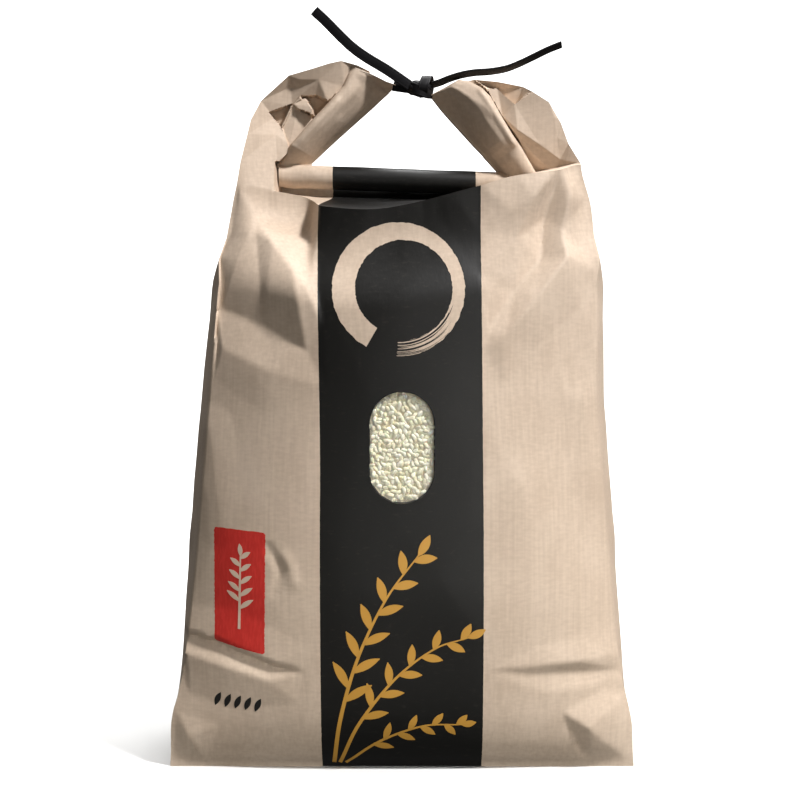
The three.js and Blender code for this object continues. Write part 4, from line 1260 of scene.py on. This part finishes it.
def stadium(half_width, half_height):
    """Points round a stadium: (x, z). Round ends, and straight sides between them."""
    angle = np.linspace(0, 2 * np.pi, WINDOW_SIDES, endpoint=False) + np.pi / WINDOW_SIDES
    straight = (half_height - half_width) * np.sign(np.sin(angle))
    return np.stack([half_width * np.cos(angle), half_width * np.sin(angle) + straight], axis=-1)


def window_plate(half_width, half_height, front_y, back_y):
    """Points and faces of a stadium-shaped plate in the window's place."""
    outline = stadium(half_width, half_height)
    depth = np.array([[front_y], [back_y]])
    return tube(points(outline[None, :, 0], depth, outline[None, :, 1] + WINDOW_Z))


cutter = make_object("cutter", *window_plate(*WINDOW_HALF, -90.0, POCKET_Y))
cut = sack.modifiers.new("window", "BOOLEAN")
cut.object = cutter
cut.operation = "DIFFERENCE"
cut.solver = "EXACT"
cut_mesh = bpy.data.meshes.new_from_object(
    sack.evaluated_get(bpy.context.evaluated_depsgraph_get()))
sack.modifiers.clear()
sack.data = cut_mesh
bpy.data.objects.remove(cutter)
sack.data.set_sharp_from_angle(angle=SHARP_ANGLE)
report(sack)

# %% [markdown]
# The band is 82 mm wide on the body. Where the paper runs back and up to the roll it seems
# narrower, because it is gathered, so there the half width falls and the middle moves a
# little to the right as the depth goes back.

# %% The band's edge, stored at each point of the paper
BAND_HALF = [[0, 41.1], [120, 40.9], [167, 40.55], [230, 40.8], [266, 41.1], [300, 41.3]]
BAND_CENTRE = [[0, 0], [120, -0.1], [167, -0.25], [266, -1.5], [290, -1.6]]
BAND_TOP = 308.0
GATHER_FROM_Y = (42, 38)
GATHER_FROM_Z = (270, 12)
GATHER_NARROWS = 3.8
GATHER_SHIFTS = 2.6
UNPRINTED = -20.0


def band_edge(place):
    """Distance inside the band's edge in mm, less where the paper goes back to the roll."""
    x, y, z = place.T
    gathered = falling(np.abs(y), GATHER_FROM_Y) * rising(z, GATHER_FROM_Z)
    half = along(BAND_HALF, z) - GATHER_NARROWS * gathered
    centre = along(BAND_CENTRE, z) + GATHER_SHIFTS * gathered
    return np.minimum(half - np.abs(x - centre), BAND_TOP - z)


def store_edge(piece, rule):
    """Puts the rule's distance at every point of a piece, for the print."""
    place = np.empty(len(piece.data.vertices) * 3, np.float32)
    piece.data.vertices.foreach_get("co", place)
    layer = piece.data.attributes.new("print_edge", "FLOAT", "POINT")
    layer.data.foreach_set("value", rule(place.reshape(-1, 3) / MM).astype(np.float32))
    piece.data.materials.clear()
    piece.data.materials.append(kraft)


store_edge(sack, band_edge)
for ear in ears:
    store_edge(ear, band_edge)
    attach(ear, "root")
middle = np.array([[0, -60, 100]])
print("band edge at the middle of the front:", round(float(band_edge(middle)[0]), 1))

# %% [markdown]
# ## The rolled mouth
#
# The mouth of the bag is rolled forward about three turns round the tie. In section this is a
# spiral: the radius falls by one pitch for each turn. The sheet comes up behind, goes over the
# top and down the front. The outer and the inner side of the sheet are two grids, and four
# narrow ones close the edges between them.

# %% The roll
ROLL_LEFT = (-64.5, -6.0, 305.4)
ROLL_RIGHT = (63.0, -6.0, 300.8)
ROLL_RADIUS = 7.2
ROLL_PITCH = 1.7
ROLL_TURNS = 3.2
ROLL_SHEET = 0.9
ROLL_START = -40.0
ROLL_GRID = (110, 200)
ROLL_BAND = (1.15, 37.5)
ROLL_CREASES = [[0.0, 0.5], [0.06, -0.4], [0.13, 0.25], [0.2, -0.1], [0.34, 0.12], [0.5, -0.08],
                [0.63, 0.14], [0.8, -0.12], [0.88, 0.25], [0.95, -0.4], [1, 0.5]]


def roll_side(along_roll, turn, inset):
    """Points of one side of the rolled sheet, inset by so many mm from the outside.

    The radius is that of the roll, less the pitch for each turn, and a little more or less
    where the roll was pressed.
    """
    centre = points(mix(ROLL_LEFT[0], ROLL_RIGHT[0], along_roll), ROLL_LEFT[1],
                    mix(ROLL_LEFT[2], ROLL_RIGHT[2], along_roll))
    angle = np.radians(ROLL_START) + 2 * np.pi * turn
    pressed = along(ROLL_CREASES, along_roll) * np.cos(2 * angle + 9 * along_roll)
    radius = ROLL_RADIUS - ROLL_PITCH * turn - inset + pressed * (1 - turn / ROLL_TURNS)
    return centre + points(0, radius * np.cos(angle), radius * np.sin(angle))


def slab_patches(outer, inner):
    """A bent sheet: two grids of one shape and the four strips that join their edges."""
    return [(outer, False), (inner, True),
            (np.stack([outer[0], inner[0]]), True), (np.stack([outer[-1], inner[-1]]), False),
            (np.stack([outer[:, 0], inner[:, 0]]), False),
            (np.stack([outer[:, -1], inner[:, -1]]), True)]


v, u = lattice(np.linspace(0, 1, ROLL_GRID[0]), np.linspace(0, ROLL_TURNS, ROLL_GRID[1]))
roll = patches_to_object("roll", slab_patches(roll_side(v, u, 0.0), roll_side(v, u, ROLL_SHEET)))
store_edge(roll, lambda place: ROLL_BAND[1] - np.abs(place[:, 0] - ROLL_BAND[0]))
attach(roll, "root")

# %% [markdown]
# ## The strips up to the knot
#
# From each kink a strip of gathered paper runs up to the knot. It is carried through
# stations, each with its share of the way, the x and z of its upper fold and of its lower
# edge, its depth toward the front and its thickness. Across the strip the front follows a
# profile: rounded at the fold, fullest a little below it, and falling away to the lower edge.

# %% The strips
STRIP_SIDES = 56
STRIP_RINGS = 110
STRIP_LEFT = [[0, -64.0, 305, -47.7, 306, 7, 7], [6, -64.6, 311.5, -47.8, 312.5, 10, 11],
              [16, -58.2, 321.7, -45.6, 314.8, 16.6, 19], [33, -47.2, 334.1, -34.8, 325.1, 16, 21],
              [45, -39.0, 342.8, -25.8, 333.2, 13.8, 20], [58, -30.7, 352.6, -16, 341.9, 11.2, 18],
              [70, -26.0, 363.2, -7.2, 349.9, 8.4, 14], [78, -17.3, 359.4, -5.4, 351.4, 7.8, 10],
              [86, -8.8, 355.2, -4.3, 352.3, 7.8, 7], [92, -3.4, 353.3, -3.1, 351.9, 7.6, 3]]
STRIP_RIGHT = [[0, 73, 299, 51.7, 302, 13, 14], [6, 70.5, 306.5, 50.2, 308.3, 15, 17],
               [18, 62.2, 320.3, 43.6, 315.6, 17, 20], [27, 57.2, 327.2, 42.4, 317.2, 18, 21],
               [40, 51.6, 336.6, 37.9, 321.8, 17.5, 21], [52, 46.2, 346.4, 30.8, 329.6, 16, 20],
               [60, 41.7, 351.2, 24.7, 336.2, 14, 18], [67, 35.6, 354.6, 20.3, 341, 12.5, 15],
               [73, 29.6, 355.6, 17.6, 344.2, 11.5, 12], [81, 22.5, 351.7, 15.8, 346.2, 10, 8],
               [89, 15.6, 348.2, 14.7, 346.4, 8.6, 3]]
LEFT_PROFILE = [[0, 0.86], [0.07, 0.96], [0.18, 1], [0.3, 0.975], [0.45, 0.88], [0.65, 0.67],
                [0.85, 0.38], [1, 0.1]]
RIGHT_PROFILE = [[0, 0.84], [0.05, 0.945], [0.12, 0.98], [0.22, 1], [0.32, 0.996], [0.43, 0.965],
                 [0.6, 0.86], [0.8, 0.64], [1, 0.38]]
PLEAT_DEPTH = 0.16
PLEATS = 5
BACK_BULGE = 0.15
STRIP_FOLDS = [
    [-13.5, 352.5, -7.5, 348.5, -3.0, -2.0, 5], [-20, 358, -12, 356.5, 1.2, 1.6, 4],
    [-31, 338, -16, 352, -0.8, -1.2, 4], [-52, 324, -34, 344, 0.7, 0.9, 4],
    [22, 346, 36, 330, -0.9, -0.5, 4], [26, 352, 47, 338, 0.8, 0.7, 4],
    [41, 349, 58, 322, 1.0, 1.6, 2.5], [48, 312, 56, 318, -1.2, -0.8, 4],
]


def strip_rings(rows, profile):
    """Rings round a strip at even steps along it: over the front, and back behind it.

    Pleats are a slight wave across the front, deeper toward the tip.
    """
    table = np.array(rows, float)
    at = np.linspace(table[0, 0], table[-1, 0], STRIP_RINGS)
    fold_x, fold_z, edge_x, edge_z, depth, thick = (
        np.interp(at, table[:, 0], table[:, k])[:, None] for k in range(1, 7))
    half = STRIP_SIDES // 2
    across = np.concatenate([np.linspace(0, 1, half), np.linspace(1, 0, half)])[None, :]
    front = np.arange(STRIP_SIDES)[None, :] < half
    tip = smooth(at / at[-1])[:, None]
    belly = np.sin(np.pi * across)
    wave = PLEAT_DEPTH * tip * np.sin(2 * np.pi * PLEATS * across + 3 * tip) * belly
    forward = depth - thick * (1 - along(profile, across)) + wave
    behind = depth - thick * (1 + BACK_BULGE * belly)
    x, z = mix(fold_x, edge_x, across), mix(fold_z, edge_z, across)
    y = -np.where(front, forward + tents(STRIP_FOLDS, x, z), behind)
    return points(x, y, z)


for name, rows, profile in (("strip_left", STRIP_LEFT, LEFT_PROFILE),
                            ("strip_right", STRIP_RIGHT, RIGHT_PROFILE)):
    strip = make_object(name, *tube(strip_rings(rows, profile)))
    store_edge(strip, lambda place: np.full(len(place), UNPRINTED))
    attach(strip, "root")
    report(strip)

# %% [markdown]
# ## Rice behind film
#
# One grain is a rounded ball with few faces, 3.5 mm long and 2.2 mm wide, and is repeated at
# every place of a shaken grid in two layers behind the window, each turned another way. Each
# grain keeps a random tone from 0 to 1, which its material uses to make some grains yellower
# and some paler. A plate behind closes the gaps with the colour of rice in shade.

# %% Grains
GRAIN_HALF = (1.75, 1.08, 0.6)
GRAIN_ROWS = 7
GRAIN_TURNS = 10
GRAIN_POLE = 0.12
GRAIN_BLUNT = 0.85
GRAIN_SIZES = (0.88, 1.08)
GRAIN_TILT = 0.22
GRAIN_PITCH = (2.45, 2.3)
GRAIN_SHAKE = (0.75, 0.3, 0.75)
GRAIN_FIELD = (18, 29)
FRONT_LAYER_Y = -63.6
GRAIN_FRONT_Y = -64.75
LAYER_GAP = 1.2
LAYER_SHIFT = (1.4, 1.3)
RICE_SEED = 11
WINDOW_REACH = 0.9


def grain_form():
    """A unit grain along x: a ball of latitude rings, with its quads."""
    polar, turn = lattice(np.linspace(GRAIN_POLE, np.pi - GRAIN_POLE, GRAIN_ROWS),
                          np.linspace(0, 2 * np.pi, GRAIN_TURNS, endpoint=False))
    ring = np.sin(polar) ** GRAIN_BLUNT
    return tube(points(np.cos(polar), ring * np.cos(turn), ring * np.sin(turn)))


def grain_places(rng):
    """Centres of grains on shaken rows behind the window, in two layers."""
    reach_x = WINDOW_HALF[0] - WINDOW_REACH
    reach_z = WINDOW_HALF[1] - WINDOW_REACH
    x, z = lattice(*(np.arange(-half, half + 0.1, pitch)
                     for half, pitch in zip(GRAIN_FIELD, GRAIN_PITCH)))
    x = x + GRAIN_PITCH[0] / 2 * (np.arange(x.shape[1]) % 2)
    both = np.concatenate([points(x, FRONT_LAYER_Y, z).reshape(-1, 3),
                           points(x + LAYER_SHIFT[0], FRONT_LAYER_Y + LAYER_GAP,
                                  z + LAYER_SHIFT[1]).reshape(-1, 3)])
    both += rng.uniform(-1, 1, both.shape) * GRAIN_SHAKE
    straight = np.maximum(np.abs(both[:, 2]) - (reach_z - reach_x), 0)
    kept = both[np.hypot(both[:, 0], straight) < reach_x]
    return kept + [0, 0, WINDOW_Z]


def turned_grains(places, rng):
    """Every grain's points: scaled, tilted out of the plane, turned in it and moved."""
    form, faces = grain_form()
    count = len(places)
    half = np.array(GRAIN_HALF) * rng.uniform(*GRAIN_SIZES, (count, 1))
    local = form[None] * half[:, None, :]
    tilt = rng.normal(0, GRAIN_TILT, (count, 1))
    spin = rng.uniform(0, np.pi, (count, 1))
    a = local[..., 0] * np.cos(tilt) - local[..., 2] * np.sin(tilt)
    out = local[..., 0] * np.sin(tilt) + local[..., 2] * np.cos(tilt)
    b = local[..., 1]
    x = a * np.cos(spin) - b * np.sin(spin)
    z = a * np.sin(spin) + b * np.cos(spin)
    placed = points(x, -out, z) + places[:, None, :]
    placed[..., 1] = np.maximum(placed[..., 1], GRAIN_FRONT_Y)
    first = np.arange(count) * len(form)
    return placed.reshape(-1, 3), [[v + k for v in face] for k in first for face in faces]


rng = np.random.default_rng(RICE_SEED)
places = grain_places(rng)
grain_points, grain_faces = turned_grains(places, rng)
rice = make_object("rice", grain_points, grain_faces)
tone = np.repeat(rng.uniform(0, 1, len(places)), len(grain_points) // len(places))
rice.data.attributes.new("tone", "FLOAT", "POINT").data.foreach_set("value", tone)
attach(rice, "root")
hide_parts("window_rice")
print(len(places), "grains,", len(grain_faces), "faces")

# %% The rice's finish, and the plate behind
GRAIN_YELLOW = (0.82, 0.76, 0.48, 1)
GRAIN_PALE = (0.98, 0.95, 0.78, 1)
GRAIN_CHALK = (0.98, 0.96, 0.84, 1)
PLATE_HALF = (16.0, 27.5)
BACKING_Y = (FRONT_LAYER_Y + 0.95, -57.4)
FILM_Y = (-65.35, -64.95)
rice_white, tree, shader = new_material("rice_grains", Roughness=0.5, Specular_IOR_Level=0.35,
                                        Subsurface_Weight=0.12, Subsurface_Scale=0.0012)
tone_node = tree.nodes.new("ShaderNodeAttribute")
tone_node.attribute_name = "tone"
place = tree.nodes.new("ShaderNodeTexCoord").outputs["Object"]
chalk = noise(tree, place, (900, 900, 900), detail=2)
clear = blend_colours(tree, tone_node.outputs["Fac"], GRAIN_YELLOW, GRAIN_PALE)
feed(tree, shader.inputs["Base Color"],
     blend_colours(tree, ramp(tree, chalk, 0.55, 0.75), clear, GRAIN_CHALK))
rice.data.materials.append(rice_white)

behind, tree, shader = new_material("rice_in_shade", Base_Color=(0.86, 0.76, 0.52, 1),
                                    Roughness=0.8)
backing = make_object("rice_backing", *window_plate(*PLATE_HALF, *BACKING_Y))
backing.data.materials.append(behind)
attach(backing, "root")
report(backing)

# %% [markdown]
# The film is a thin glossy plate just behind the paper's edge. Real film lets nearly all light
# straight through. A low alpha gives that without refraction, which at this thickness
# wouldn't be seen, and the clear gloss still shows as a faint reflection.

# %% Film
film_clear, tree, shader = new_material("clear_film", Base_Color=(0.95, 0.95, 0.93, 1),
                                        Roughness=0.08, Alpha=0.06, IOR=1.5)
film = make_object("film", *window_plate(*PLATE_HALF, *FILM_Y))
film.data.materials.append(film_clear)
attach(film, "root")
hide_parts("window_film")
report(film)

# %% [markdown]
# ## Printed drawings
#
# The fine drawings are thin layers laid on the front, each a stroke: a middle line and
# a half width along it. The depth of the front at any x and z is worked out from the same
# functions as the paper itself, so a stroke follows every fold, a tenth of a millimetre
# or so above the paper. Its section has five points over the front and two inside the paper.

# %% Strokes that follow the paper
INK_RISE = 0.14
INK_SINK = 0.5
STEM_STEP = 1.2
LEAF_BEND = 0.12
PAIR_BEND = 0.14
LEAF_FROM, LEAF_TO = 0.3, 0.97
TIP_LEAF = 0.7
ACROSS = np.array([-1, -0.5, 0, 0.5, 1, 1, -1])
ABOVE = np.array([1, 1, 1, 1, 1, 0, 0])


def front_y(x, z):
    """y of the finished front at places in its plane, below the lip."""
    side = np.sign(x + 1e-9)
    across = x / (column_x(side, z) * side)
    up = LIP_SHARE * z / along(LIP_HEIGHT, across)
    flat = body_face(across, up, -1)
    return shape_paper(flat.reshape(-1, 3))[:, 1].reshape(np.shape(x))


def stroke(line, half_width):
    """A closed thin band along a line of (x, z), with a half width at each place."""
    ahead = np.gradient(line, axis=0)
    ahead /= np.hypot(ahead[:, 0], ahead[:, 1])[:, None]
    x = line[:, :1] - ahead[:, 1:] * half_width[:, None] * ACROSS
    z = line[:, 1:] + ahead[:, :1] * half_width[:, None] * ACROSS
    y = front_y(x, z) + np.where(ABOVE > 0, -INK_RISE, INK_SINK)
    return tube(points(x, y, z))


def leaf(base, direction, length, half_width, bend=LEAF_BEND):
    """A pointed leaf: the half width is sin(pi t) to the power 0.8 along a slight bend."""
    t = np.linspace(0, 1, max(9, int(length * 1.6)))
    ray = np.array([math.cos(direction), math.sin(direction)])
    square = np.array([-ray[1], ray[0]])
    line = np.array(base) + length * (t[:, None] * ray + bend * (t * t)[:, None] * square)
    return stroke(line, half_width * np.sin(np.pi * np.clip(t, 0.02, 0.98)) ** 0.8)


def branch(rows, leaves, length, half_width, spread=0.62):
    """A stem through rows of (x, z, half width) with pairs of leaves up to its tip."""
    table = np.array(rows, float)
    line = route_points(np.column_stack([table[:, :2], np.zeros(len(table))]), STEM_STEP)[:, :2]
    t = np.linspace(0, 1, len(line))
    parts = [stroke(line, np.interp(t, np.linspace(0, 1, len(table)), table[:, 2]))]
    ahead = np.gradient(line, axis=0)
    for number, share in enumerate(np.linspace(LEAF_FROM, LEAF_TO, leaves)):
        k = int(share * (len(line) - 1))
        along_stem = math.atan2(ahead[k, 1], ahead[k, 0])
        size = length * (1.08 - 0.4 * share)
        side = 1 if number % 2 else -1
        parts.append(leaf(line[k], along_stem + side * spread, size, half_width,
                          side * PAIR_BEND))
    at_tip = math.atan2(ahead[-1, 1], ahead[-1, 0])
    parts.append(leaf(line[-1], at_tip, length * TIP_LEAF, half_width))
    return parts


print("front is at y =", round(float(front_y(np.array([0.0]), np.array([100.0]))[0]), 2), "mm")

# %% [markdown]
# Leafy branches in gold grow over the lower part of the band. A pale sprig stands in the
# stamp, and five black grains lie in a row below it.

# %% Gold branches, the stamp's sprig and the grains
# Rows of x, z and half width, then the number, length and half width of the leaves
GOLD_BRANCHES = [
    ([[-35, 2.5, 1.1], [-31, 30, 1.0], [-22, 62, 0.8], [-8, 92, 0.6], [8, 114, 0.35]],
     11, 17, 2.3),
    ([[-32, 2.5, 1.0], [-22, 26, 0.9], [-4, 50, 0.7], [16, 66, 0.5], [33, 72, 0.3]],
     10, 14, 2.1),
    ([[-29, 2.5, 0.8], [-12, 16, 0.7], [10, 25, 0.5], [30, 26, 0.3]], 8, 11, 1.8),
]
gold, tree, shader = new_material("gold_ink", Base_Color=(0.58, 0.30, 0.045, 1), Roughness=0.5)
parts = []
for rows, leaves, length, width in GOLD_BRANCHES:
    parts += branch(rows, leaves, length, width)
branches = make_object("gold_branches", *join(parts))
branches.data.materials.append(gold)

pale_ink, tree, shader = new_material("bare_paper", Base_Color=(0.68, 0.53, 0.40, 1),
                                      Roughness=0.6)
sprig = make_object("stamp_sprig", *join(branch(
    [[-82.5, 75, 0.7], [-82, 95, 0.6], [-81.6, 112, 0.35]], 9, 9, 1.25, spread=0.8)))
sprig.data.materials.append(pale_ink)

black_ink, tree, shader = new_material("black_ink", Base_Color=(0.012, 0.011, 0.009, 1),
                                       Roughness=0.5)
marks = make_object("grain_marks", *join([
    leaf((-95.5 + 5.2 * k, 34.5 - 0.6 * k), math.radians(72), 7.5, 1.5, -0.1) for k in range(5)]))
marks.data.materials.append(black_ink)
for piece in (branches, sprig, marks):
    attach(piece, "root")
    report(piece)

# %% [markdown]
# ## Studio
#
# The sack stands on a pale sweep, a floor that curves up into a wall, so that the background
# is even. The light is that of the photograph: one soft light at the right, from above and
# in front, a faint warm glow off the ground before the sack, and a weak general light that
# leaves the left side in shade. A lamp of its own lights the wall.

# %% Sweep
SWEEP_HALF = 5.0
SWEEP_FRONT = -4.0
SWEEP_BEND = 1.7
SWEEP_RADIUS = 1.0
SWEEP_TOP = 4.0
bend = np.linspace(0, np.pi / 2, 24)
profile = np.concatenate([[[SWEEP_FRONT, 0.0]],
                          np.stack([SWEEP_BEND + SWEEP_RADIUS * np.sin(bend),
                                    SWEEP_RADIUS * (1 - np.cos(bend))], axis=-1),
                          [[SWEEP_BEND + SWEEP_RADIUS, SWEEP_TOP]]])
side_x = np.array([-SWEEP_HALF, SWEEP_HALF])
grid = points(side_x[None, :], profile[:, :1], profile[:, 1:]) / MM
sweep = make_object("sweep", grid.reshape(-1, 3), grid_faces(len(profile), 2).tolist())
pale, tree, shader = new_material("pale_sweep", Base_Color=(0.90, 0.90, 0.89, 1), Roughness=0.9)
sweep.data.materials.append(pale)
sweep.visible_diffuse = False
sweep.visible_glossy = False
print("wall at y =", SWEEP_BEND + SWEEP_RADIUS, "m")


# %% Lights
def soft_box(name, place, target, size, watts, colour=(1, 1, 1)):
    """A square area light that looks at a point."""
    light = bpy.data.lights.new(name, "AREA")
    light.size = size
    light.energy = watts
    light.color = colour
    lamp = bpy.data.objects.new(name, light)
    lamp.location = place
    lamp.rotation_euler = (Vector(target) - Vector(place)).to_track_quat("-Z", "Y").to_euler()
    bpy.context.scene.collection.objects.link(lamp)
    return lamp


GLOW_SPREAD = math.radians(44)
soft_box("key_light", (1.08, -0.84, 1.92), (0, 0, 0.18), 0.26, 67.0, (0.995, 0.98, 0.985))
glow = soft_box("ground_glow", (0.32, -0.85, 0.12), (0, 0, -0.03), 0.35, 0.33, (1, 0.98, 0.93))
glow.data.spread = GLOW_SPREAD
soft_box("wall_light", (0.0, 0.9, 2.6), (0, 2.7, 0.7), 1.6, 160.0)
world = bpy.data.worlds.new("studio")
bpy.context.scene.world = world
world.use_nodes = True
sky = world.node_tree.nodes["Background"]
sky.inputs["Color"].default_value = (1.0, 1.0, 1.0, 1.0)
sky.inputs["Strength"].default_value = 0.10
bpy.context.scene.view_settings.view_transform = "Standard"
